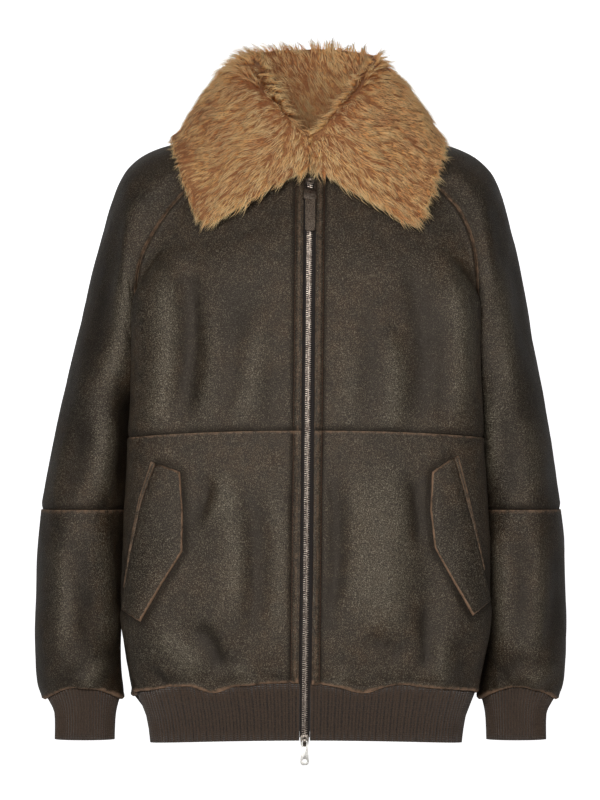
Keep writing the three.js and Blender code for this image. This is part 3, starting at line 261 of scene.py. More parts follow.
def settled(thing):
    """Puts the mesh that a piece's modifiers make in the place of its own mesh."""
    before = thing.data
    made = bpy.data.meshes.new_from_object(thing.evaluated_get(bpy.context.evaluated_depsgraph_get()))
    thing.modifiers.clear()
    thing.data = made
    bpy.data.meshes.remove(before)
    made.name = thing.name
    return made


def subdivided(bm, name, levels):
    """The mesh after smooth subdivision, its cage moved out first so that the form keeps its size."""
    mesh = bpy.data.meshes.new(name)
    bm.to_mesh(mesh)
    thing = new_object(name, mesh)
    fine = thing.modifiers.new("fine", "SUBSURF")
    fine.levels = levels
    fine.render_levels = levels
    fine.use_limit_surface = False
    count = len(mesh.vertices)
    aim = np.empty(count * 3)
    mesh.vertices.foreach_get("co", aim)
    cage = aim.copy()
    for _ in range(2):
        evaluated = thing.evaluated_get(bpy.context.evaluated_depsgraph_get())
        reached = np.empty(len(evaluated.data.vertices) * 3)
        evaluated.data.vertices.foreach_get("co", reached)
        cage += aim - reached[: count * 3]
        mesh.vertices.foreach_set("co", cage)
        mesh.update()
    settled(thing)
    return thing


def bell(v):
    return np.exp(-v * v)


def ramp(value, start, span):
    """From 0 at a start to 1 at a span further on."""
    return min(max((value - start) / span, 0), 1)


def points_of(mesh):
    co = np.empty(len(mesh.vertices) * 3)
    mesh.vertices.foreach_get("co", co)
    return co.reshape(-1, 3)


def put_points(mesh, co):
    mesh.vertices.foreach_set("co", co.ravel())
    mesh.update()


def skin_normals(mesh, side):
    """Mean normal of the faces of one skin at each vertex, and which vertices that skin has."""
    total = np.zeros((len(mesh.vertices), 3))
    for polygon in mesh.polygons:
        if polygon.material_index == side:
            total[list(polygon.vertices)] += np.array(polygon.normal) * polygon.area
    size = np.linalg.norm(total, axis=1)
    has = size > 0
    total[has] /= size[has, None]
    return total, has


# Soft troughs and ridges in the leather: x and z of the one end, x and z of the other, half width, and
# height, in millimetres
FRONT_CREASES = [
    (-166, -125, -180, -345, 11, 3.0),
    (-140, -120, -146, -330, 10, -2.6),
    (-112, -175, -124, -340, 12, 1.2),
    (-84, -130, -100, -335, 14, -1.6),
    (-60, -190, -84, -335, 13, 1.8),
    (-38, -240, -46, -335, 9, -1.2),
    (166, -110, 176, -340, 10, 2.2),
    (150, -160, 154, -330, 8, -1.6),
    (120, -120, 132, -335, 11, -2.4),
    (96, -205, 98, -345, 12, 2.2),
    (68, -170, 74, -330, 11, -1.4),
    (46, -215, 44, -338, 10, 1.0),
    (27, -340, 20, -590, 8, -2.2),
    (58, -356, 52, -560, 14, 1.6),
    (92, -350, 84, -585, 19, 2.8),
    (122, -372, 128, -470, 8, -2.2),
    (70, -560, 110, -600, 9, -1.4),
    (150, -560, 158, -632, 8, 1.8),
    (134, -520, 140, -618, 8, -2.0),
    (176, -560, 184, -630, 8, -1.5),
    (-108, -376, -138, -446, 8, -2.2),
    (-92, -366, -118, -446, 9, 1.6),
    (-96, -360, -88, -560, 12, 1.8),
    (-68, -372, -64, -590, 10, -1.8),
    (-40, -366, -42, -600, 11, 1.5),
    (-20, -350, -22, -560, 8, -1.0),
    (-178, -560, -118, -618, 11, 2.6),
    (-128, -548, -96, -612, 8, -3.0),
    (-190, -600, -150, -636, 6, -1.8),
    (-84, -596, -60, -634, 8, 1.4),
    (44, -600, 30, -636, 7, 1.2),
]
BACK_CREASES = [
    (-150, -130, -164, -335, 11, 2.4),
    (-118, -100, -132, -330, 12, -2.2),
    (-76, -140, -86, -340, 13, 1.8),
    (-30, -170, -36, -345, 12, -1.6),
    (14, -150, 20, -340, 13, 1.5),
    (62, -130, 70, -335, 12, -2.0),
    (104, -110, 116, -340, 12, 2.2),
    (146, -140, 158, -330, 10, -2.0),
    (-140, -372, -150, -600, 12, 1.8),
    (-98, -360, -88, -610, 11, -2.0),
    (-46, -376, -40, -590, 13, 1.6),
    (4, -366, 10, -600, 12, -1.6),
    (52, -358, 46, -610, 12, 1.8),
    (102, -380, 112, -590, 11, -2.0),
    (150, -372, 156, -616, 12, 2.2),
    (-176, -560, -128, -626, 9, -2.0),
    (120, -560, 92, -626, 9, -1.8),
]
SLEEVE_FRONT_CREASES = [
    (-214, -120, -238, -300, 10, 2.4),
    (-236, -110, -262, -270, 11, -1.8),
    (-212, -260, -226, -410, 9, -2.0),
    (-234, -300, -246, -418, 11, 2.0),
    (-262, -290, -280, -415, 10, -1.5),
    (-286, -330, -300, -418, 9, 1.2),
    (-226, -436, -232, -560, 9, -2.0),
    (-244, -430, -240, -600, 10, 2.2),
    (-272, -436, -262, -610, 10, -1.8),
    (-296, -450, -286, -600, 10, 1.8),
    (-232, -590, -270, -634, 8, 2.0),
    (-250, -600, -296, -628, 7, -1.6),
    (214, -110, 236, -300, 10, 2.2),
    (234, -100, 258, -280, 11, -1.6),
    (208, -270, 216, -410, 9, 2.2),
    (228, -300, 236, -418, 9, -1.8),
    (256, -300, 270, -415, 11, 1.8),
    (282, -350, 292, -418, 9, -1.3),
    (222, -436, 226, -600, 9, 2.2),
    (246, -432, 244, -580, 10, -2.0),
    (270, -440, 264, -610, 10, 2.0),
    (292, -450, 284, -590, 9, -1.8),
    (222, -622, 262, -594, 8, -2.0),
    (256, -632, 298, -604, 7, 1.8),
]
SLEEVE_BACK_CREASES = [
    (x * 0.985, z + 14, end_x, end_z, width, 0.9 * height)
    for x, z, end_x, end_z, width, height in SLEEVE_FRONT_CREASES
]
CREASE_GAIN = 1.8
CREASE_SPREAD = 1.3
CREASE_BOW = 0.05


def crease_out(co, creases):
    """How far the creases stand out at each point, in metres."""
    out = np.zeros(len(co))
    plan = co[:, [0, 2]] * 1000
    for x, z, end_x, end_z, width, height in creases:
        a = np.array((x, z), float)
        run = np.array((end_x, end_z), float) - a
        along = (plan - a) @ run / (run @ run)
        across = (plan - a - along[:, None] * run) @ np.array([run[1], -run[0]]) / np.linalg.norm(run)
        bow = across + CREASE_BOW * np.linalg.norm(run) * np.sin(math.pi * along)
        ends = np.clip(along / 0.3, 0, 1) * np.clip((1 - along) / 0.3, 0, 1)
        fade = ends * ends * (3 - 2 * ends)
        out += CREASE_GAIN * height * fade * bell(bow / (CREASE_SPREAD * width))
    return out / 1000


def noise_at(co, scale, seed):
    """Smooth noise at each point, from -1 to 1."""
    shift = Vector((seed * 13.7, seed * 7.1, seed * 3.3))
    return np.array([noise.noise(Vector(p) * scale + shift) for p in co])


# How each kind of seam stands out of the leather beside it, in millimetres: the depth and reach of a
# trough, then the height, place and spread of a roll. Wear, puckers and painted shade, dark colour put
# where the seam's crevice and the collar above it are shaded, go with it.
SEAM_VALUES = ("trough", "reach", "roll", "at", "spread", "wear", "wear_reach", "pucker", "grime")
SEAM_FORM = {
    "above": (-2.0, 3.4, 0.2, 8.0, 4.0, 0.12, 2.0, 0.8, 0.9),
    "below": (-0.5, 1.2, 1.2, 2.8, 2.2, 0.8, 2.4, 0.8, 0.2),
    "raglan": (-1.9, 2.2, 0.6, 4.2, 2.2, 0.9, 2.0, 0.6, 0.5),
    "rib": (-1.6, 1.2, 1.4, 3.8, 2.8, 1.6, 4.2, 0.9, 0.0),
    "zip": (-0.6, 0.9, 0.5, 2.6, 2.0, 0.5, 1.5, 0.0, 0.0),
    "neck": (-0.5, 3.0, 0.0, 4.0, 3.0, 0.0, 2.0, 0.0, 0.9),
}


def seam_kind(node, other):
    if other in ("hem_rib", "cuff_R", "cuff_L"):
        return "rib"
    if other.startswith("collar"):
        return "neck"
    if {node.split("_")[0], other.split("_")[0]} in ({"sleeve"}, {"front"}, {"back"}):
        return "above" if "upper" in node else "below"
    return "raglan"


# The pocket flaps' outlines as seen from the front, in millimetres
POCKETS = [
    dict(
        side="R",
        seam=[(-174, -366), (-190, -410), (-202, -466), (-210, -512), (-213.5, -536)],
        free=[(-146, -376), (-143, -420), (-143, -468), (-168, -508), (-192, -550)],
    ),
    dict(
        side="L",
        seam=[(171, -359), (184, -404), (196, -450), (206, -492), (213.5, -526)],
        free=[(146, -376), (144, -420), (149, -464), (171, -504), (193, -543)],
    ),
]


def edge_distance(places, outline):
    """How far plane places lie inside a closed outline's edge."""
    best = np.full(len(places), 1e9)
    for a, b in zip(outline, outline[1:] + outline[:1]):
        a, b = np.array(a), np.array(b)
        run = b - a
        t = np.clip((places - a) @ run / (run @ run), 0, 1)
        best = np.minimum(best, np.linalg.norm(places - a - t[:, None] * run, axis=1))
    return best


PANELS = [n for n in nodes if n.startswith(("front_", "back_", "sleeve_"))]
cages = {n: cage_of(n) for n in PANELS}
rims = {n: rim_points(bm) for n, bm in cages.items()}
around = {n: tree_of(points) for n, points in rims.items()}
for knit in ("hem_rib", "cuff_R", "cuff_L"):
    around[knit] = tree_of([v.co for v in nodes[knit].data.vertices])


def seams_of(node):
    """The rim's points by the kind of seam that they lie on."""
    found = {}
    for p in rims[node]:
        kinds = []
        for other, tree in around.items():
            if other == node or {node[-1], other[-1]} == {"R", "L"}:
                continue
            reach = 0.006 if "rib" in other or "cuff" in other else SEAM_REACH
            distance = tree.find(p)[2]
            if distance < reach:
                kinds.append((distance / reach, seam_kind(node, other)))
        if kinds:
            found.setdefault(min(kinds)[1], []).append(p)
        elif node.startswith("front") and abs(p.x - zip_x(p.z)) < 0.012:
            found.setdefault("zip", []).append(p)
    return {kind: tree_of(points) for kind, points in found.items()}


# The sleeves' inner sides and the trunk's sides stand out a little round this height, where they touch
TOUCH_Z = -0.46
SLEEVE_SWELL = 0.0075
TRUNK_SWELL = 0.004
SIDE_LINE_Y = 0.004
BROAD_WAVES = 0.0011
FINE_WAVES = 0.0004
STRIP_ROLL = 0.0007
STRIP_GROOVE = 0.0019
FLAP_PRESS = 0.0022


def dressed_panel(node, levels):
    thing = subdivided(cages[node], node.replace("_", "-") + "-leather", levels)
    mesh = thing.data
    co = points_of(mesh)
    out_way, skin = skin_normals(mesh, OUTSIDE)
    index = np.nonzero(skin)[0]
    spots = co[index]
    lift = np.zeros(len(spots))
    front = spots[:, 1] < SIDE_LINE_Y
    if node.startswith("sleeve"):
        ahead, behind = (crease_out(spots, c) for c in (SLEEVE_FRONT_CREASES, SLEEVE_BACK_CREASES))
        lift += np.where(front, ahead, behind)
        facing = np.clip(np.abs(out_way[index, 1]) / 0.35, 0, 1)
    else:
        lift += crease_out(spots, FRONT_CREASES if node.startswith("front") else BACK_CREASES)
        facing = np.clip(np.abs(out_way[index, 1]) / 0.5, 0, 1)
    lift *= facing
    fold = np.clip(lift / 0.0035, -1, 1)
    lift += BROAD_WAVES * noise_at(spots, 17.0, 1) + FINE_WAVES * noise_at(spots, 55.0, 2)
    if node.startswith("sleeve"):
        inward = np.clip(-np.sign(spots[:, 0]) * out_way[index, 0], 0, 1)
        lift += SLEEVE_SWELL * inward * bell((spots[:, 2] - TOUCH_Z) / 0.16)
    else:
        sideways = np.clip(np.abs(out_way[index, 0]), 0, 1)
        lift += TRUNK_SWELL * sideways * bell((spots[:, 2] - TOUCH_Z) / 0.14)
    worn = np.zeros(len(spots))
    grime = np.zeros(len(spots))
    # Painted shade: the sleeves' outer sides, turned away from the lights, are painted darker.
    if node.startswith("sleeve"):
        grime += 0.5 * np.clip(np.sign(spots[:, 0]) * out_way[index, 0], 0, 1)
    for kind, tree in seams_of(node).items():
        form = dict(zip(SEAM_VALUES, SEAM_FORM[kind]))
        away = np.array([tree.find(p)[2] for p in spots]) * 1000
        lift += form["trough"] / 1000 * bell(away / form["reach"])
        lift += form["roll"] / 1000 * bell((away - form["at"]) / form["spread"])
        lift += form["pucker"] / 1000 * noise_at(spots, 70.0, 3) * bell(away / 16)
        worn = np.maximum(worn, form["wear"] * bell(away / form["wear_reach"]))
        # Painted shade: each seam darkens the leather beside it, where its crevice and the collar above
        # shade it.
        grime = np.maximum(grime, form["grime"] * bell(away / 7))
    if node.startswith("front"):
        beside = (np.abs(spots[:, 0] - zip_x(spots[:, 2])) - ZIP_HALF) / STRIP_WIDTH
        lift += STRIP_ROLL * np.clip(np.sin(np.clip(beside, 0, 1) * math.pi), 0, 1)
        lift -= STRIP_GROOVE * bell((beside - 1.04) / 0.2)
        worn = np.maximum(worn, 0.35 * bell((beside - 0.8) / 0.12))
        worn = np.maximum(worn, 0.45 * bell((beside - 0.45) / 0.28))
        # Painted shade in the groove along the strip's outer edge.
        grime = np.maximum(grime, 0.9 * bell((beside - 1.06) / 0.22))
    if node.startswith("front_lower"):
        pocket = POCKETS[0 if node.endswith("R") else 1]
        outline = pocket["seam"] + list(reversed(pocket["free"]))
        from_flap = edge_distance(spots[:, [0, 2]] * 1000, outline)
        lift -= FLAP_PRESS * bell(from_flap / 4.5)
        # Painted shadow on the panel all round the pocket flap's outline.
        grime = np.maximum(grime, 0.9 * bell(from_flap / 7))
    moved = out_way[index] * lift[:, None]
    near = tree_of([Vector(p) for p in spots])
    shift = np.zeros_like(co)
    shift[index] = moved
    # Wear, painted shade and fold height, carried to the leather's material as attributes.
    marks = np.zeros((3, len(co)))
    marks[:, index] = worn, grime, fold
    for i in np.nonzero(~skin)[0]:
        j = near.find(co[i])[1]
        shift[i] = moved[j]
        marks[:, i] = worn[j], grime[j], fold[j]
    put_points(mesh, co + shift)
    for name, values in zip(("worn", "grime", "fold"), marks):
        mesh.attributes.new(name, "FLOAT", "POINT").data.foreach_set("value", values)
    mesh.shade_smooth()
    return thing


def sharpened(mesh, degrees):
    """Marks edges sharper than an angle, so that smooth shading stops there."""
    mesh.shade_smooth()
    bm = bmesh.new()
    bm.from_mesh(mesh)
    for e in bm.edges:
        if e.calc_face_angle(0) > math.radians(degrees):
            e.smooth = False
    bm.to_mesh(mesh)
    bm.free()


def node_after(tree, kind, values=None, **settings):
    """A new node, its inputs fed by sockets or set to values, by their name or number."""
    made = tree.nodes.new(kind)
    for key, value in settings.items():
        setattr(made, key, value)
    for key, value in (values or {}).items():
        if isinstance(value, bpy.types.NodeSocket):
            tree.links.new(value, made.inputs[key])
        else:
            made.inputs[key].default_value = value
    return made


def linear(*rgb):
    """A colour given as it looks on a screen, from 0 to 255, as a shader needs it."""
    return tuple(((v / 255 + 0.055) / 1.055) ** 2.4 if v > 10 else v / 255 / 12.92 for v in rgb) + (1.0,)


def new_material(name, values):
    """A material with values set on its shader's own sockets."""
    material = bpy.data.materials.new(name)
    material.use_nodes = True
    shader = material.node_tree.nodes["Principled BSDF"]
    for label, value in values.items():
        shader.inputs[label].default_value = value
    return material, material.node_tree, shader


def object_place(tree):
    return node_after(tree, "ShaderNodeTexCoord").outputs["Object"]


def attribute(tree, name):
    return node_after(tree, "ShaderNodeAttribute", attribute_name=name).outputs["Fac"]


def noise_node(tree, coordinates, scale, detail=3.0, roughness=0.5, stretch=None):
    """A noise pattern on object coordinates, at so many per metre."""
    if stretch:
        mapping = node_after(tree, "ShaderNodeMapping", {"Vector": coordinates, "Scale": stretch})
        coordinates = mapping.outputs["Vector"]
    values = {"Vector": coordinates, "Scale": scale, "Detail": detail, "Roughness": roughness}
    return node_after(tree, "ShaderNodeTexNoise", values).outputs["Fac"]


def ranged(tree, value, low, high, to_low=0.0, to_high=1.0):
    values = {"Value": value, "From Min": low, "From Max": high, "To Min": to_low, "To Max": to_high}
    return node_after(tree, "ShaderNodeMapRange", values).outputs["Result"]


def mixed(tree, share, one, two):
    """One colour over another by a mask; each is a colour or a socket."""
    values = {"Factor": share, 6: one, 7: two}
    return node_after(tree, "ShaderNodeMix", values, data_type="RGBA").outputs[2]


def times(tree, one, two, operation="MULTIPLY"):
    return node_after(tree, "ShaderNodeMath", {0: one, 1: two}, operation=operation).outputs["Value"]


def bumped(tree, height, strength, distance, under=None):
    values = {"Strength": strength, "Distance": distance, "Height": height}
    if under:
        values["Normal"] = under
    return node_after(tree, "ShaderNodeBump", values).outputs["Normal"]


def new_group(name, inputs, outputs, kind="ShaderNodeTree"):
    """An empty node group with named sockets, each given as its name and kind."""
    tree = bpy.data.node_groups.new(name, kind)
    for label, sort in inputs:
        tree.interface.new_socket(label, in_out="INPUT", socket_type="NodeSocket" + sort)
    for label, sort in outputs:
        tree.interface.new_socket(label, in_out="OUTPUT", socket_type="NodeSocket" + sort)
    return tree, tree.nodes.new("NodeGroupInput").outputs, tree.nodes.new("NodeGroupOutput").inputs


def placed_group(tree, group, values):
    """The group placed in a material, its inputs fed by sockets or set to values."""
    return node_after(tree, "ShaderNodeGroup", values, node_tree=group).outputs


def feed(tree, shader, made, labels=("Roughness", "Normal")):
    """Links a group's outputs to the shader's sockets: its colour, and what else is named."""
    tree.links.new(made["Color"], shader.inputs["Base Color"])
    for label in labels:
        tree.links.new(made[label], shader.inputs[label])


# Pebbled leather: brown and grey in broad patches, flecked where the grain is rubbed, with painted sheen
# on its fold ridges, painted shade in its fold troughs, creases and crevices, and tan along its edges
grain, given, result = new_group(
    "hide_grain",
    [("Vector", "Vector")]
    + [(n, "Color") for n in ("Dark", "Brown", "Pale", "Tan")]
    + [(n, "Float") for n in ("Worn", "Grime", "Fold")],
    [("Color", "Color"), ("Roughness", "Float"), ("Normal", "Vector")],
)
where = given["Vector"]
broad = ranged(grain, noise_node(grain, where, 11, 4), 0.38, 0.64)
cloud = ranged(grain, noise_node(grain, where, 60, 4, 0.6), 0.3, 0.7)
cloudy = mixed(grain, cloud, given["Dark"], given["Brown"])
colour = mixed(grain, times(grain, broad, 0.8), cloudy, given["Dark"])
# Painted sheen: fold ridges are painted paler grey. Painted shade: fold troughs are painted darker.
colour = mixed(grain, ranged(grain, given["Fold"], 0, 1, 0, 0.45), colour, linear(86, 78, 65))
colour = mixed(grain, ranged(grain, given["Fold"], 0, -1, 0, 0.7), colour, linear(20, 15, 11))
# Pale specks where the grain is rubbed, with more of them on fold ridges as painted sheen.
flecks = noise_node(grain, where, 880, 2, 0.72)
sheen_on_folds = ranged(grain, given["Fold"], -1, 1, -0.25, 0.3)
rub_and_sheen = times(grain, ranged(grain, cloud, 0, 1, 0.3, 0.6), sheen_on_folds, "ADD")
specks = times(grain, ranged(grain, flecks, 0.54, 0.65), rub_and_sheen)
pits = ranged(grain, flecks, 0.38, 0.51, 0.9, 0.0)
colour = mixed(grain, pits, mixed(grain, specks, colour, given["Pale"]), linear(18, 13, 10))
# Painted shade: near-black where the panels mark shade in creases, crevices and on the sleeves' outer
# sides.
colour = mixed(grain, times(grain, given["Grime"], 0.75), colour, linear(15, 10, 7))
patchy = ranged(grain, noise_node(grain, where, 160, 4, 0.7), 0.3, 0.62, 0.2, 1.0)
rubbed = ranged(grain, times(grain, given["Worn"], patchy), 0.2, 0.95)
grain.links.new(mixed(grain, rubbed, colour, given["Tan"]), result["Color"])
gloss = ranged(grain, noise_node(grain, where, 30, 3), 0.3, 0.7, 0.33, 0.46)
dull = times(grain, times(grain, rubbed, 0.25), times(grain, given["Grime"], 0.2), "ADD")
grain.links.new(times(grain, gloss, dull, "ADD"), result["Roughness"])
fine = bumped(grain, flecks, 0.85, 0.0009)
soft = noise_node(grain, where, 120, 3)
grain.links.new(bumped(grain, soft, 0.35, 0.0012, fine), result["Normal"])


def grained_leather(name, dark, brown, pale, tan, marked=True):
    sheen = {"Specular IOR Level": 0.45, "Specular Tint": (1.0, 0.86, 0.72, 1.0)}
    material, tree, shader = new_material(name, sheen)
    values = dict(Dark=dark, Brown=brown, Pale=pale, Tan=tan)
    values["Vector"] = object_place(tree)
    if marked:
        for label in ("Worn", "Grime", "Fold"):
            values[label] = attribute(tree, label.lower())
    feed(tree, shader, placed_group(tree, grain, values))
    return material


hide_skin = grained_leather(
    "worn_leather", linear(33, 26, 19), linear(62, 43, 26), linear(150, 143, 124), linear(148, 118, 94)
)
hide_edge = grained_leather(
    "leather_edge", linear(28, 21, 16), linear(42, 31, 22), linear(80, 70, 58), linear(112, 86, 66)
)

# Wool of uneven tone: deep in some tufts and pale in others
wool_tone, given, result = new_group(
    "wool_tone",
    [("Vector", "Vector"), ("Scale", "Float"), ("Deep", "Color"), ("Mid", "Color")],
    [("Color", "Color")],
)
tufts = noise_node(wool_tone, given["Vector"], given["Scale"], 4)
tone = mixed(wool_tone, ranged(wool_tone, tufts, 0.32, 0.68), given["Deep"], given["Mid"])
wool_tone.links.new(tone, result["Color"])

hide_wool, tree, shader = new_material("clipped_wool", {"Roughness": 0.95})
where = object_place(tree)
CURLS = 260.0
curls = dict(Vector=where, Scale=CURLS, Deep=linear(112, 78, 50), Mid=linear(172, 134, 94))
feed(tree, shader, placed_group(tree, wool_tone, curls), ())
tree.links.new(bumped(tree, noise_node(tree, where, CURLS, 5, 0.7), 1.0, 0.004), shader.inputs["Normal"])

# Each panel, dressed and given its skin, wool and edge finishes, takes the place of its solid on the
# jacket
leather = {}
for node in PANELS:
    panel = dressed_panel(node, 3 if node.startswith("front") else 2)
    for finish in (hide_skin, hide_wool, hide_edge):
        panel.data.materials.append(finish)
    sharpened(panel.data, 55)
    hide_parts(node)
    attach(panel, "jacket")
    leather[node] = panel


# The pocket flaps and the welts beside them: two slanting pieces of the same leather, turned in along
# their edges, topstitched and worn pale there. They lie closed over the pocket mouths on the fronts.
FLAP_THICKNESS = 3.8
FLAP_OVER = 1.0
TURNED_EDGE = 2.2
STITCH_LINE = 6.0
WELT_WIDTH = 6.0


def along_line(points, share):
    """A place along a line of points, by the share of its steps."""
    at = min(share, 0.99999) * (len(points) - 1)
    i = int(at)
    return np.array(points[i]) + (at - i) * (np.array(points[i + 1]) - np.array(points[i]))


def closed_mesh(name, points, faces):
    """A mesh of a closed shape, its faces turned outward."""
    mesh = bpy.data.meshes.new(name)
    mesh.from_pydata(points, [], faces)
    bm = bmesh.new()
    bm.from_mesh(mesh)
    bmesh.ops.recalc_face_normals(bm, faces=bm.faces)
    bm.to_mesh(mesh)
    bm.free()
    return mesh


def laid_patch(name, under, seam, free, across, along, thickness, roll, rubbed):
    """A turned-in piece of leather laid on a panel, from its outline as seen from the front."""
    surface = BVHTree.FromPolygons(
        [v.co for v in under.data.vertices],
        [p.vertices for p in under.data.polygons if p.material_index == OUTSIDE],
    )
    places = np.array([
        (1 - u) * along_line(seam, v) + u * along_line(free, v)
        for v in np.linspace(0, 1, along + 1)
        for u in np.linspace(0, 1, across + 1)
    ])
    inside = edge_distance(places, [tuple(p) for p in seam] + [tuple(p) for p in reversed(free)])
    tops, bottoms = [], []
    for (x, z), depth in zip(places, inside):
        spot, way, _, _ = surface.ray_cast(Vector((x / 1000, -0.4, z / 1000)), Vector((0, 1, 0)))
        if spot is None:
            spot, way, _, _ = surface.find_nearest(Vector((x / 1000, -0.09, z / 1000)))
        way = (way + Vector((0, -0.6, 0))).normalized()
        rounded = 1 - math.exp(-depth / 1.3)
        turned_in = roll * math.exp(-(((depth - TURNED_EDGE) / 1.5) ** 2))
        high = FLAP_OVER + thickness * (0.35 + 0.65 * rounded) + turned_in
        high -= 0.45 * roll * math.exp(-(((depth - STITCH_LINE) / 0.9) ** 2))
        high += 0.5 * noise.noise(spot * 45) * min(depth / 8, 1) * roll
        tops.append(spot + way * high / 1000)
        bottoms.append(spot + way * FLAP_OVER * 0.35 / 1000)
    count = len(tops)
    wide = across + 1
    faces = []
    for j in range(along):
        for i in range(across):
            a = j * wide + i
            faces.append((a, a + 1, a + wide + 1, a + wide))
            faces.append((a + wide + count, a + wide + 1 + count, a + 1 + count, a + count))
    ring = (
        [i for i in range(wide)]
        + [j * wide + across for j in range(1, along + 1)]
        + [along * wide + i for i in range(across - 1, -1, -1)]
        + [j * wide for j in range(along - 1, 0, -1)]
    )
    for a, b in zip(ring, ring[1:] + ring[:1]):
        faces.append((b, a, a + count, b + count))
    mesh = closed_mesh(name, tops + bottoms, faces)
    rubbed_there = np.tile(np.linspace(rubbed[0], rubbed[1], wide), along + 1)
    worn = np.exp(-(((inside - 0.6) / 1.6) ** 2)) * rubbed_there
    layer = mesh.attributes.new("worn", "FLOAT", "POINT")
    layer.data.foreach_set("value", np.concatenate([worn, worn]))
    mesh.materials.append(hide_skin)
    mesh.shade_smooth()
    return new_object(name, mesh)


for pocket in POCKETS:
    side = pocket["side"]
    panel = leather["front_lower_" + side]
    seam, free = pocket["seam"], pocket["free"]
    flap = laid_patch("pocket-flap-" + side, panel, seam, free, 30, 90, FLAP_THICKNESS, 0.9, (0.4, 1.9))
    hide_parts("pocket_flap_" + side)
    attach(flap, "jacket")
    away = 1 if side == "L" else -1
    near = [(x + 0.5 * away, z) for x, z in seam[:4]]
    far = [(x + (WELT_WIDTH - 1.4 * i) * away, z + 2) for i, (x, z) in enumerate(seam[:4])]
    welt = laid_patch("pocket-welt-" + side, panel, near, far, 8, 60, 1.4, 0.4, (0.5, 0.9))
    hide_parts("pocket_welt_" + side)
    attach(welt, "jacket")

# The hem band and the cuffs: rib-knitted brown wool, doubled and sewn under the leather's edge. Their
# ribs run up and down, each a column of small stitches, painted dark in the grooves and pale on top as
# shade and highlight.
RIB_TUCK = 0.0035
RIB_REACH = 0.0042
RIB_DEPTH = 0.0012
STITCH_ROWS = 150


def rib_knit(name, dark, pale):
    material, tree, shader = new_material(name, {"Roughness": 0.92, "Sheen Weight": 0.25})
    where = object_place(tree)
    fuzz = noise_node(tree, where, 700, 4, 0.7)
    # Painted shade and highlight: the grooves between ribs are painted dark and the ribs' tops pale.
    colour = mixed(tree, ranged(tree, attribute(tree, "ridge"), 0.15, 0.85), dark, pale)
    frayed = mixed(tree, ranged(tree, fuzz, 0.42, 0.66, 0, 0.5), colour, linear(98, 76, 58))
    tree.links.new(frayed, shader.inputs["Base Color"])
    waves = {"Vector": where, "Scale": STITCH_ROWS, "Distortion": 1.2, "Detail Scale": 4.0}
    bands = dict(wave_type="BANDS", bands_direction="Z", wave_profile="SIN")
    rows = node_after(tree, "ShaderNodeTexWave", waves, **bands).outputs["Fac"]
    fine = bumped(tree, fuzz, 0.6, 0.0006)
    tree.links.new(bumped(tree, rows, 0.6, 0.0006, fine), shader.inputs["Normal"])
    return material


knit = rib_knit("rib_knit", linear(16, 11, 8), linear(58, 43, 31))
for node, flat in (("hem_rib", (0.98, 0.07)), ("cuff_R", (0.25, 0.06)), ("cuff_L", (0.25, 0.06))):
    bm = merged(node)
    bmesh.ops.join_triangles(
        bm, faces=bm.faces, angle_face_threshold=math.radians(40), angle_shape_threshold=math.radians(60)
    )
    crease = bm.edges.layers.float.new("crease_edge")
    for e in bm.edges:
        if e.calc_face_angle(0) > math.radians(65):
            e[crease] = 0.8
    band = subdivided(bm, node.replace("_", "-") + "-knit", 1 if node == "hem_rib" else 2)
    bm.free()
    co = points_of(band.data)
    leather_edge = tree_of([p for n in PANELS for p in rims[n]])
    up = np.array([leather_edge.find(p)[2] for p in co])
    co[:, 2] += RIB_TUCK * bell(up / 0.006)
    put_points(band.data, co)
    centre = np.array([0.0 if node == "hem_rib" else co[:, 0].mean(), 0.004])
    radial = co[:, :2] - centre
    reach = np.linalg.norm(radial, axis=1)
    # How far each point stands out of its neighbours, which sets the ribs' painted shade and highlight.
    ridge = np.zeros(len(co))
    near = tree_of([Vector(p) for p in co])
    for i, p in enumerate(co):
        others = [j for _, j, _ in near.find_range(p, RIB_REACH) if abs(co[j, 2] - p[2]) < 0.004]
        ridge[i] = reach[i] - np.mean(reach[others])
    layer = band.data.attributes.new("ridge", "FLOAT", "POINT")
    layer.data.foreach_set("value", np.clip(0.5 + ridge / RIB_DEPTH, 0, 1))
    band.data.materials.clear()
    band.data.materials.append(knit)
    band.data.shade_smooth()
    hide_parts(node)
    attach(band, "jacket")

# The collar: one thick shearling sheet that stands at the neck and falls over the shoulders, leather
# inside the fold and long caramel wool outside. The wool is made of locks that taper and cling together.
WOOL_DEPTH = 0.5
COLLAR_MIDDLE = Vector((0.004, -0.003, 0))
ROLL_SWELL = 0.010
RIGHT_ROLL_SWELL = 0.014
CROWN_LIFT = 0.004
CROWN_ARCH = 0.012
CROWN_DEPTH = 0.03
bm = merged("collar_fur")
bmesh.ops.recalc_face_normals(bm, faces=bm.faces)


def sector_of(place):
    """Which slice of 15 degrees round the neck a place lies in."""
    angle = math.atan2(place[1] - COLLAR_MIDDLE.y, place[0] - COLLAR_MIDDLE.x)
    return round(math.degrees(angle) / 15) % 24


# Where the fold runs in each slice: how far from the middle, and how high
roll = {}
for v in bm.verts:
    if v.co.z > roll.get(sector_of(v.co), (0, -1))[1]:
        roll[sector_of(v.co)] = (math.hypot(v.co.x - COLLAR_MIDDLE.x, v.co.y - COLLAR_MIDDLE.y), v.co.z)


def wool_side(face):
    """Whether a face of the collar is wool: inside the stand, over the roll and outside the fall."""
    c = face.calc_center_median() - COLLAR_MIDDLE
    sector = sector_of(face.calc_center_median())
    radial = Vector((c.x, c.y)).normalized()
    if c.z > roll[sector][1] - 0.012:
        return face.normal.z > -0.2
    outward = face.normal.x * radial.x + face.normal.y * radial.y + 0.35 * face.normal.z
    return outward > 0 if Vector((c.x, c.y)).length > roll[sector][0] else outward < 0


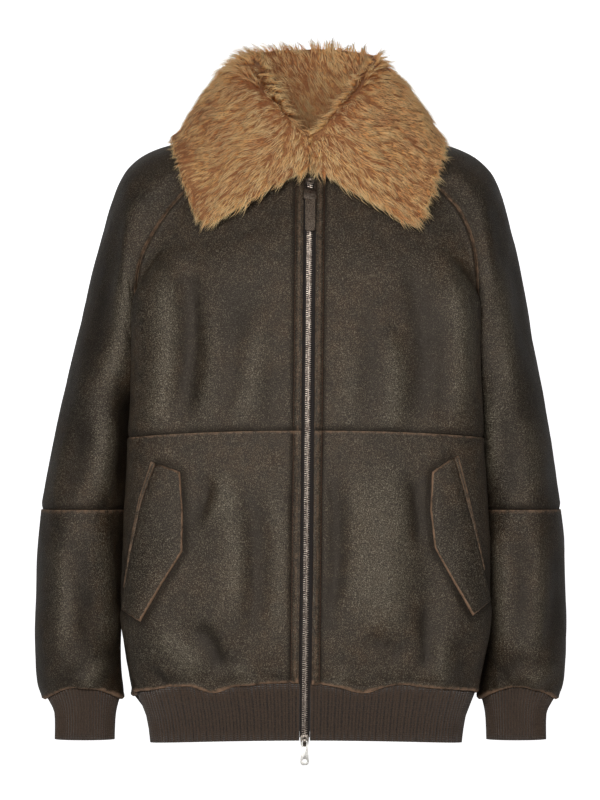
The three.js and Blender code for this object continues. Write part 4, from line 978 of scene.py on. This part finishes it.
for face in bm.faces:
    face.material_index = OUTSIDE if wool_side(face) else INSIDE
bmesh.ops.join_triangles(
    bm,
    faces=bm.faces,
    cmp_materials=True,
    angle_face_threshold=math.radians(50),
    angle_shape_threshold=math.radians(70),
)
collar = subdivided(bm, "collar-sheepskin", 2)
bm.free()
co = points_of(collar.data)
_, woolly = skin_normals(collar.data, OUTSIDE)
under = BVHTree.FromPolygons(
    [Vector(p) for p in co], [p.vertices for p in collar.data.polygons if p.material_index == INSIDE]
)
for i in np.nonzero(woolly)[0]:
    back = np.array(under.find_nearest(Vector(co[i]))[0])
    co[i] += WOOL_DEPTH * (back - co[i])
    reach, top = roll[sector_of(co[i])]
    aside = co[i] - np.array(COLLAR_MIDDLE)
    away = math.hypot(aside[0], aside[1])
    behind = ramp(co[i][1], -0.02, 0.05)
    if away < reach - 0.002:
        swell = ROLL_SWELL * (1 - behind) + RIGHT_ROLL_SWELL * ramp(-aside[0], 0, 0.05)
        swell *= bell((top - co[i][2] - 0.012) / 0.024)
        co[i][:2] -= aside[:2] / away * swell
    crown = behind * (max(co[i][2] - top + CROWN_DEPTH, 0) / CROWN_DEPTH) ** 2
    co[i][2] += crown * (CROWN_LIFT + CROWN_ARCH * max(1 - (aside[0] / 0.075) ** 2, 0))
co += 0.0015 * noise_at(co, 60, 5)[:, None] * skin_normals(collar.data, OUTSIDE)[0]
put_points(collar.data, co)

# How the wool lies: which way it flows, how long it is and how far its tips rise; and painted shade,
# darker the deeper it lies inside the neck
PARTING_X = 0.004
CREST_DEPTH = 0.022
CREST_RISE = -0.52
INNER_RISE = -0.75
INNER_LENGTH = 0.78
OUTER_LENGTH = 0.95
JITTER_SCALE = 28
JITTER_SHIFTS = (Vector((0, 0, 0)), Vector((9, 0, 0)), Vector((0, 9, 0)))
ways, _ = skin_normals(collar.data, OUTSIDE)
flow = np.zeros_like(co)
hair = np.zeros(len(co))
rise = np.zeros(len(co))
deep_in = np.zeros(len(co))
for i, p in enumerate(co):
    side = math.copysign(1, p[0] - PARTING_X)
    aside = min(abs(p[0] - PARTING_X) / 0.07, 1)
    high = ramp(p[2], -0.085, 0.1)
    angle = math.radians(74) * aside * (0.35 + 0.65 * high)
    radial = (Vector(p) - COLLAR_MIDDLE) * Vector((1, 1, 0))
    sector = sector_of(p)
    inner = radial.length < roll[sector][0] - 0.004
    crest = float(max(p[2] - roll[sector][1] + CREST_DEPTH, 0) / CREST_DEPTH)
    rise[i] = CREST_RISE * min(crest, 1)
    if inner:
        forward = ramp(-p[1], -0.02, 0.06)
        way = Vector((-0.3 - 0.5 * side * forward, 0, 0.6 - 0.9 * forward))
        hair[i] = INNER_LENGTH
        rise[i] = min(rise[i], INNER_RISE * forward)
        # Painted shade: wool deep inside the neck is marked to be painted darker.
        deep_in[i] = ramp(roll[sector][1] - p[2], 0.025, 0.07)
    else:
        front = Vector((side * math.sin(angle), -0.2, -math.cos(angle)))
        behind = radial.normalized() + Vector((0, 0, -0.8))
        way = front.lerp(behind, ramp(p[1], -0.05, 0.06))
        narrow = ramp(-p[0], 0.09, 0.05) * 0.42 + ramp(p[0], 0.11, 0.05) * 0.18
        hair[i] = OUTER_LENGTH - narrow
    jitter = Vector([noise.noise(Vector(p) * JITTER_SCALE + shift) for shift in JITTER_SHIFTS])
    crown = min(crest, 1) * ramp(p[1], -0.02, 0.05)
    hair[i] += 0.2 * crown * (1 - 0.8 * min(abs(p[0] - PARTING_X) / 0.08, 1))
    rise[i] += 0.08 * crown
    way += (0.55 + 0.3 * min(crest, 1)) * jitter
    normal = Vector(ways[i])
    flow[i] = (way - way.dot(normal) * normal).normalized()
for name, kind, values, key in (
    ("flow", "FLOAT_VECTOR", flow, "vector"),
    ("hair", "FLOAT", hair, "value"),
    ("rise", "FLOAT", rise, "value"),
    ("deep_in", "FLOAT", deep_in, "value"),
):
    layer = collar.data.attributes.new(name, kind, "POINT")
    layer.data.foreach_set(key, values.ravel())

# Locks and hairs, in millimetres
LOCK_KINDS = 8
HAIRS_IN_LOCK = 9
DENSEST_LOCKS = 60000
ROOT_SPREAD = 3.6
HAIR_LENGTH = (14, 25)
HAIR_THICKNESS = (0.28, 0.5)


def fur_lock(number, seed):
    """A small clump of tapered hairs, rooted round the origin, that lean over towards +X."""
    draw = random.Random(seed)
    points, faces, tips = [], [], []
    stations = (0.0, 0.5, 1.0)
    meet = 0.1 + 0.4 * draw.random()
    for _ in range(number):
        root_x, root_y = draw.uniform(-ROOT_SPREAD, ROOT_SPREAD), draw.uniform(-ROOT_SPREAD, ROOT_SPREAD)
        long = draw.uniform(*HAIR_LENGTH) * (0.75 if draw.random() < 0.3 else 1.0)
        thick = draw.uniform(*HAIR_THICKNESS)
        start = math.radians(draw.uniform(34, 60))
        stop = math.radians(draw.uniform(80, 98))
        sway = draw.uniform(-1.8, 1.8)
        x, z, before = root_x, -1.5, 0.0
        base = len(points)
        for t in stations:
            lean = start + (stop - start) * t
            x += math.sin(lean) * (t - before) * long
            z += math.cos(lean) * (t - before) * long
            before = t
            y = root_y * (1 - meet * t) + sway * math.sin(math.pi * t)
            size = thick * (1 - t) ** 0.7
            if t == 1.0:
                points.append((x / 1000, y / 1000, z / 1000))
                tips.append(1.0)
                continue
            for corner in range(3):
                a = corner * 2 * math.pi / 3 + 0.5
                wide, deep = 1.35 * size * math.cos(a), 0.8 * size * math.sin(a)
                points.append((x / 1000, (y + wide) / 1000, (z + deep) / 1000))
                tips.append(t)
        spans = len(stations) - 2
        for j in range(spans):
            for c in range(3):
                a, b = base + 3 * j + c, base + 3 * j + (c + 1) % 3
                faces.append((a, b, b + 3, a + 3))
        end = base + 3 * (spans + 1)
        faces += [(base + 3 * spans + c, base + 3 * spans + (c + 1) % 3, end) for c in range(3)]
        faces.append((base + 2, base + 1, base))
    mesh = bpy.data.meshes.new(f"lock_{seed}")
    mesh.from_pydata(points, [], faces)
    layer = mesh.attributes.new("tip", "FLOAT", "POINT")
    layer.data.foreach_set("value", tips)
    mesh.shade_smooth()
    return bpy.data.objects.new(f"lock_{seed}", mesh)


locks = bpy.data.collections.new("locks")
for seed in range(LOCK_KINDS):
    locks.objects.link(fur_lock(HAIRS_IN_LOCK, seed + 1))


def outputs_after(tree, kind, values=None, **settings):
    """The outputs of a new node."""
    return node_after(tree, kind, values, **settings).outputs


def fur_tree(material):
    """Scatters locks over the wool side, laid along its flow, in the band between two places across."""
    inputs = [("Geometry", "Geometry"), ("Spacing", "Float"), ("Seed", "Int")]
    inputs += [("From X", "Float"), ("To X", "Float")]
    tree, given, result = new_group("laid_fur", inputs, [("Geometry", "Geometry")], "GeometryNodeTree")
    step = partial(outputs_after, tree)

    def compared(values, operation, data_type="FLOAT"):
        return step("FunctionNodeCompare", values, data_type=data_type, operation=operation)[0]

    def both(one, two):
        return step("FunctionNodeBooleanMath", {0: one, 1: two}, operation="AND")[0]

    def stored(name, data_type="FLOAT"):
        return step("GeometryNodeInputNamedAttribute", {"Name": name}, data_type=data_type)["Attribute"]

    def aligned(values, axis, pivot):
        return step("FunctionNodeAlignRotationToVector", values, axis=axis, pivot_axis=pivot)["Rotation"]

    def turned(rotation, turn):
        values = {"Rotation": rotation, "Rotate By": turn}
        return step("FunctionNodeRotateRotation", values, rotation_space="LOCAL")["Rotation"]

    across = step("ShaderNodeSeparateXYZ", {0: step("GeometryNodeInputPosition")[0]})["X"]
    from_x = compared({"A": across, "B": given["From X"]}, "GREATER_EQUAL")
    to_x = compared({"A": across, "B": given["To X"]}, "LESS_THAN")
    is_wool = compared({2: step("GeometryNodeInputMaterialIndex")[0]}, "EQUAL", "INT")
    places = {"Mesh": given["Geometry"], "Selection": both(both(from_x, to_x), is_wool)}
    places.update({"Distance Min": given["Spacing"], "Density Max": DENSEST_LOCKS, "Seed": given["Seed"]})
    scatter = step("GeometryNodeDistributePointsOnFaces", places, distribute_method="POISSON")
    upright = aligned({"Vector": scatter["Normal"]}, "Z", "AUTO")
    along = aligned({"Rotation": upright, "Vector": stored("flow", "FLOAT_VECTOR")}, "X", "Z")
    most = (0.14, 0.12, 0.22)
    sway = {0: tuple(-v for v in most), 1: most}
    swayed = turned(along, step("FunctionNodeRandomValue", sway, data_type="FLOAT_VECTOR")[0])
    raised = turned(swayed, step("ShaderNodeCombineXYZ", {"Y": stored("rise")})[0])
    size = step("FunctionNodeRandomValue", {2: 0.82, 3: 1.18}, data_type="FLOAT")[1]
    scale = step("ShaderNodeMath", {0: size, 1: stored("hair")}, operation="MULTIPLY")[0]
    source = step("GeometryNodeCollectionInfo", {"Collection": locks, "Separate Children": True})[0]
    pick = step("FunctionNodeRandomValue", {4: 0, 5: LOCK_KINDS - 1}, data_type="INT")[2]
    copies = {"Points": scatter["Points"], "Instance": source, "Pick Instance": True}
    copies.update({"Instance Index": pick, "Rotation": raised, "Scale": scale})
    laid = step("GeometryNodeInstanceOnPoints", copies)["Instances"]
    tint = step("FunctionNodeRandomValue", data_type="FLOAT")[1]
    tinted = {"Geometry": laid, "Name": "tint", "Value": tint}
    kept = step("GeometryNodeStoreNamedAttribute", tinted, data_type="FLOAT", domain="INSTANCE")[0]
    real = step("GeometryNodeRealizeInstances", {"Geometry": kept})[0]
    painted = step("GeometryNodeSetMaterial", {"Geometry": real, "Material": material})[0]
    tree.links.new(painted, result["Geometry"])
    return tree


def grown(thing, tree, values):
    """Makes a piece's mesh what a node tree gives, the tree's inputs set by their names."""
    modifier = thing.modifiers.new(tree.name, "NODES")
    modifier.node_group = tree
    for item in tree.interface.items_tree:
        if item.in_out == "INPUT" and item.name in values:
            modifier[item.identifier] = values[item.name]
    settled(thing)


undercoat, tree, shader = new_material("wool_undercoat", {"Roughness": 0.62})
where = object_place(tree)
TUFTS = 34.0
tone = dict(Vector=where, Scale=TUFTS, Deep=linear(172, 110, 64), Mid=linear(212, 152, 96))
strands = noise_node(tree, where, 420, 4, 0.7)
uneven = placed_group(tree, wool_tone, tone)["Color"]
streaked = mixed(tree, ranged(tree, strands, 0.3, 0.7), linear(128, 76, 42), uneven)
tree.links.new(streaked, shader.inputs["Base Color"])
tree.links.new(bumped(tree, strands, 1.0, 0.003), shader.inputs["Normal"])

long_wool, tree, shader = new_material("long_wool", {"Roughness": 0.62})
tone = dict(Vector=object_place(tree), Scale=TUFTS, Deep=linear(216, 126, 60), Mid=linear(252, 190, 112))
tinted = times(tree, attribute(tree, "tint"), 0.35)
lit = ranged(tree, times(tree, attribute(tree, "tip"), tinted, "ADD"), 0.25, 1.25)
colour = mixed(tree, lit, placed_group(tree, wool_tone, tone)["Color"], linear(255, 232, 176))
# Painted shade: the wool deep inside the neck is painted darker brown.
inside = times(tree, attribute(tree, "deep_in"), 0.65)
tree.links.new(mixed(tree, inside, colour, linear(110, 68, 38)), shader.inputs["Base Color"])
collar.data.materials.clear()
collar.data.materials.append(undercoat)
collar.data.materials.append(hide_skin)
collar.data.shade_smooth()
LOCK_SPACING = 0.0049
laid_fur = fur_tree(long_wool)
for name, low, high, seed in (
    ("collar-wool-R", -1.0, -0.058, 3),
    ("collar-wool-R-neck", -0.058, 0.004, 4),
    ("collar-wool-L-neck", 0.004, 0.066, 5),
    ("collar-wool-L", 0.066, 1.0, 6),
):
    fur = new_object(name, collar.data.copy())
    grown(fur, laid_fur, {"Spacing": LOCK_SPACING, "Seed": seed, "From X": low, "To X": high})
    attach(fur, "jacket")
for thing in list(locks.objects):
    bpy.data.objects.remove(thing)
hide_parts("collar_fur")
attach(collar, "jacket")

# The zip: two woven tapes sewn behind the leather's folded edges, with a closed row of metal teeth
# that are clamped on from each side in turn. Its line follows the front edge down to the hem.
TOOTH_PITCH = 1.25
TOOTH_TOP_X = 1.2
TAPE_BEHIND = (0.0018, 0.0026)
TAPE_HALF = (0.0115, 0.0059)
TAPE_NARROWS_Z = -0.628
TAPE_STEPS = 90
WEAVE_SCALE = 420
chain = np.array([v.co for v in nodes["zip_chain"].data.vertices])
chain_z = np.unique(np.round(chain[:, 2], 5))
chain_y = np.array([chain[np.abs(chain[:, 2] - z) < 2e-5, 1].min() for z in chain_z])


def chain_front(z):
    """How far forward the solid chain's face lies at a height."""
    return float(np.interp(z, chain_z, chain_y))


def tooth_mesh():
    """One tooth that reaches from the right over the chain's middle, set round its own middle."""
    outline = [(3.4, 0.4), (1.4, 0.4), (0.4, 0.3), (-0.2, 0.5), (-0.8, 0.42), (-1.1, 0.0)]
    outline += [(x, -z) for x, z in reversed(outline[:-1])]
    rings = ((-1.25, 0.55), (-0.7, 1.0), (1.1, 1.0))
    points = []
    for y, grow in rings:
        for x, z in outline:
            if y < -1:
                x = TOOTH_TOP_X + (x - TOOTH_TOP_X) * grow
            points.append((x / 1000, y / 1000, z * grow / 1000))
    n = len(outline)
    faces = [tuple(range(n)), tuple(range(3 * n - 1, 2 * n - 1, -1))]
    for ring in range(2):
        for i in range(n):
            a, b = ring * n + i, ring * n + (i + 1) % n
            faces.append((a, a + n, b + n, b))
    return closed_mesh("tooth", points, faces)


def repeat_tree(name, shape, material, turn_about):
    """Puts copies of a shape along a curve at a spacing: turned half round in turn, or laid along it."""
    inputs = [("Geometry", "Geometry"), ("Spacing", "Float")]
    tree, given, result = new_group(name, inputs, [("Geometry", "Geometry")], "GeometryNodeTree")
    step = partial(outputs_after, tree)
    line = step("GeometryNodeMeshToCurve", {"Mesh": given["Geometry"]})["Curve"]
    spots = step("GeometryNodeCurveToPoints", {"Curve": line, "Length": given["Spacing"]}, mode="LENGTH")
    if turn_about:
        odd = step("ShaderNodeMath", {0: step("GeometryNodeInputIndex")[0], 1: 2}, operation="MODULO")[0]
        half = step("ShaderNodeMath", {0: odd, 1: math.pi}, operation="MULTIPLY")[0]
        turn = step("ShaderNodeCombineXYZ", {"Z": half})[0]
    else:
        tangent = {"Vector": spots["Tangent"]}
        turn = step("FunctionNodeAlignRotationToVector", tangent, axis="X", pivot_axis="AUTO")["Rotation"]
    source = step("GeometryNodeObjectInfo", {"Object": shape})["Geometry"]
    copies = {"Points": spots["Points"], "Instance": source, "Rotation": turn}
    laid = step("GeometryNodeInstanceOnPoints", copies)["Instances"]
    real = step("GeometryNodeRealizeInstances", {"Geometry": laid})[0]
    painted = step("GeometryNodeSetMaterial", {"Geometry": real, "Material": material})[0]
    tree.links.new(painted, result["Geometry"])
    return tree


def repeated(name, line, spacing, tree):
    """A plain mesh of the shapes that a tree sets along a line of points."""
    mesh = bpy.data.meshes.new(name)
    mesh.from_pydata(line, [(i, i + 1) for i in range(len(line) - 1)], [])
    thing = new_object(name, mesh)
    grown(thing, tree, {"Spacing": spacing})
    return thing


# Handled metal: bright where it rubs, duller between, with fine scratches
cast_wear, given, result = new_group(
    "cast_wear",
    [("Vector", "Vector"), ("Bright", "Color"), ("Dull", "Color"), ("Roughness", "Float")],
    [("Color", "Color"), ("Roughness", "Float"), ("Normal", "Vector")],
)
wear = ranged(cast_wear, noise_node(cast_wear, given["Vector"], 500, 4, 0.65), 0.4, 0.65)
cast_wear.links.new(mixed(cast_wear, wear, given["Dull"], given["Bright"]), result["Color"])
scratched = noise_node(cast_wear, given["Vector"], 900, 3, 0.6, stretch=(1, 1, 0.15))
uneven = ranged(cast_wear, scratched, 0.3, 0.7, -0.08, 0.12)
cast_wear.links.new(times(cast_wear, given["Roughness"], uneven, "ADD"), result["Roughness"])
cast_wear.links.new(bumped(cast_wear, scratched, 0.25, 0.0001), result["Normal"])


def metal(name, bright, dull, roughness):
    material, tree, shader = new_material(name, {"Metallic": 1.0})
    values = dict(Vector=object_place(tree), Bright=bright, Dull=dull, Roughness=roughness)
    feed(tree, shader, placed_group(tree, cast_wear, values))
    return material


tooth_metal = metal("tooth_metal", linear(176, 164, 152), linear(82, 70, 62), 0.36)
pull_steel = metal("pull_steel", linear(206, 204, 200), linear(168, 165, 160), 0.45)
slider_steel = metal("slider_steel", linear(122, 114, 106), linear(74, 68, 62), 0.4)
gunmetal = metal("gunmetal", linear(140, 128, 116), linear(84, 74, 66), 0.42)
tooth = bpy.data.objects.new("tooth", tooth_mesh())
CHAIN_BEHIND = 0.00105
zip_heights = np.linspace(chain_z[-1] - 0.0005, chain_z[0] + 0.0005, 61)
zip_line = [(zip_x(z), chain_front(z) + CHAIN_BEHIND, z) for z in zip_heights]
in_turn = repeat_tree("teeth_in_turn", tooth, tooth_metal, True)
teeth = repeated("zip-teeth", zip_line, TOOTH_PITCH / 1000, in_turn)
bpy.data.objects.remove(tooth)
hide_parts("zip_chain")
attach(teeth, "jacket")

woven, tree, shader = new_material("woven_tape", {"Roughness": 0.85})
where = object_place(tree)
waves = {"Vector": where, "Scale": WEAVE_SCALE}
slanted = dict(wave_type="BANDS", bands_direction="DIAGONAL")
weave = outputs_after(tree, "ShaderNodeTexWave", waves, **slanted)["Fac"]
threads = mixed(tree, ranged(tree, weave, 0, 1), linear(20, 15, 12), linear(38, 29, 24))
tree.links.new(threads, shader.inputs["Base Color"])
tree.links.new(bumped(tree, weave, 0.6, 0.0004), shader.inputs["Normal"])
for side, way in (("R", -1), ("L", 1)):
    points, faces = [], []
    heights = np.linspace(chain_z[-1] + 0.001, chain_z[0], TAPE_STEPS)
    for z in heights:
        full = ramp(z, TAPE_NARROWS_Z, 0.008)
        half = TAPE_HALF[1] + (TAPE_HALF[0] - TAPE_HALF[1]) * full
        for behind in TAPE_BEHIND:
            for share in (0.004, 0.25, 0.5, 0.75, 1.0):
                points.append((zip_x(z) + way * share * half, chain_front(z) + behind, z))
    for i in range(len(heights) - 1):
        a = 10 * i
        for c in range(4):
            faces.append((a + c, a + c + 1, a + c + 11, a + c + 10))
            faces.append((a + c + 15, a + c + 16, a + c + 6, a + c + 5))
        faces.append((a, a + 10, a + 15, a + 5))
        faces.append((a + 4, a + 9, a + 19, a + 14))
    faces.append((0, 5, 6, 7, 8, 9, 4, 3, 2, 1))
    last = 10 * (len(heights) - 1)
    faces.append(tuple(last + i for i in (0, 1, 2, 3, 4, 9, 8, 7, 6, 5)))
    mesh = closed_mesh("zip-tape-" + side, points, faces)
    mesh.materials.append(woven)
    tape = new_object("zip-tape-" + side, mesh)
    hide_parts("zip_tape_" + side)
    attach(tape, "jacket")

# The sliders and their pulls: cast metal with softened edges. The upper one is dark and carries a bail,
# a bare plate and a leather tab; the lower one is bright with a flared tab that hangs under the hem.
tab_tones = linear(88, 76, 66), linear(108, 93, 80), linear(140, 128, 114), linear(140, 120, 100)
tab_leather = grained_leather("tab_leather", *tab_tones, marked=False)
for node, finish, bevel, body, slot_name in (
    ("zip_slider_upper", gunmetal, 0.5, "jacket", "gunmetal"),
    ("zip_slider_lower", slider_steel, 0.5, "jacket", "steel"),
    ("upper_pull", gunmetal, 0.45, "upper_pull", "gunmetal"),
    ("upper_pull_tab", tab_leather, 0.6, "upper_pull", "tab_leather"),
    ("lower_pull", pull_steel, 0.45, "lower_pull", "steel"),
):
    bm = merged(node)
    bmesh.ops.dissolve_limit(bm, angle_limit=math.radians(2), verts=bm.verts, edges=bm.edges)
    mesh = bpy.data.meshes.new(node.replace("_", "-") + "-cast")
    bm.to_mesh(mesh)
    bm.free()
    mesh.materials.append(finish)
    cast = new_object(mesh.name, mesh)
    round_off = cast.modifiers.new("round_off", "BEVEL")
    round_off.width = bevel / 1000
    round_off.segments = 3
    round_off.limit_method = "ANGLE"
    round_off.angle_limit = math.radians(40)
    sharpened(settled(cast), 40)
    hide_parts(node)
    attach(cast, body)

# Topstitching: dark waxed thread along the outer edge of each strip beside the zip. It holds the folded
# leather edge to the tape; each stitch is laid as a short bead on the leather.
STITCH_LENGTH = 3.4
thread, _, _ = new_material("waxed_thread", {"Base Color": linear(88, 56, 40), "Roughness": 0.6})


def stitch_mesh():
    points, faces = [], []
    for x, size in ((-1.15, 0.08), (-0.8, 0.3), (0.0, 0.36), (0.8, 0.3), (1.15, 0.08)):
        for k in range(6):
            a = k * math.pi / 3
            points.append((x / 1000, (size * math.cos(a)) / 1000, (size * math.sin(a)) / 1000))
    for ring in range(4):
        for k in range(6):
            a, b = ring * 6 + k, ring * 6 + (k + 1) % 6
            faces.append((a, b, b + 6, a + 6))
    faces += [(5, 4, 3, 2, 1, 0), (24, 25, 26, 27, 28, 29)]
    mesh = closed_mesh("stitch", points, faces)
    mesh.shade_smooth()
    return mesh


stitch = bpy.data.objects.new("stitch", stitch_mesh())
stitching = repeat_tree("stitches", stitch, thread, False)
for side in ("R", "L"):
    way = -1 if side == "R" else 1
    for half in ("upper", "lower"):
        panel = leather[f"front_{half}_{side}"]
        polygons = [p.vertices for p in panel.data.polygons]
        surface = BVHTree.FromPolygons([v.co for v in panel.data.vertices], polygons)
        line = []
        for z in np.arange(-0.040, -0.632, -0.006):
            x = zip_x(z) + way * (ZIP_HALF + 0.9 * STRIP_WIDTH)
            spot = surface.ray_cast(Vector((x, -0.4, z)), Vector((0, 1, 0)))[0]
            if spot is not None:
                line.append((x, spot.y - 0.00012, z))
        row = repeated(f"strip-stitches-{half}-{side}", line, STITCH_LENGTH / 1000, stitching)
        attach(row, "jacket")
bpy.data.objects.remove(stitch)
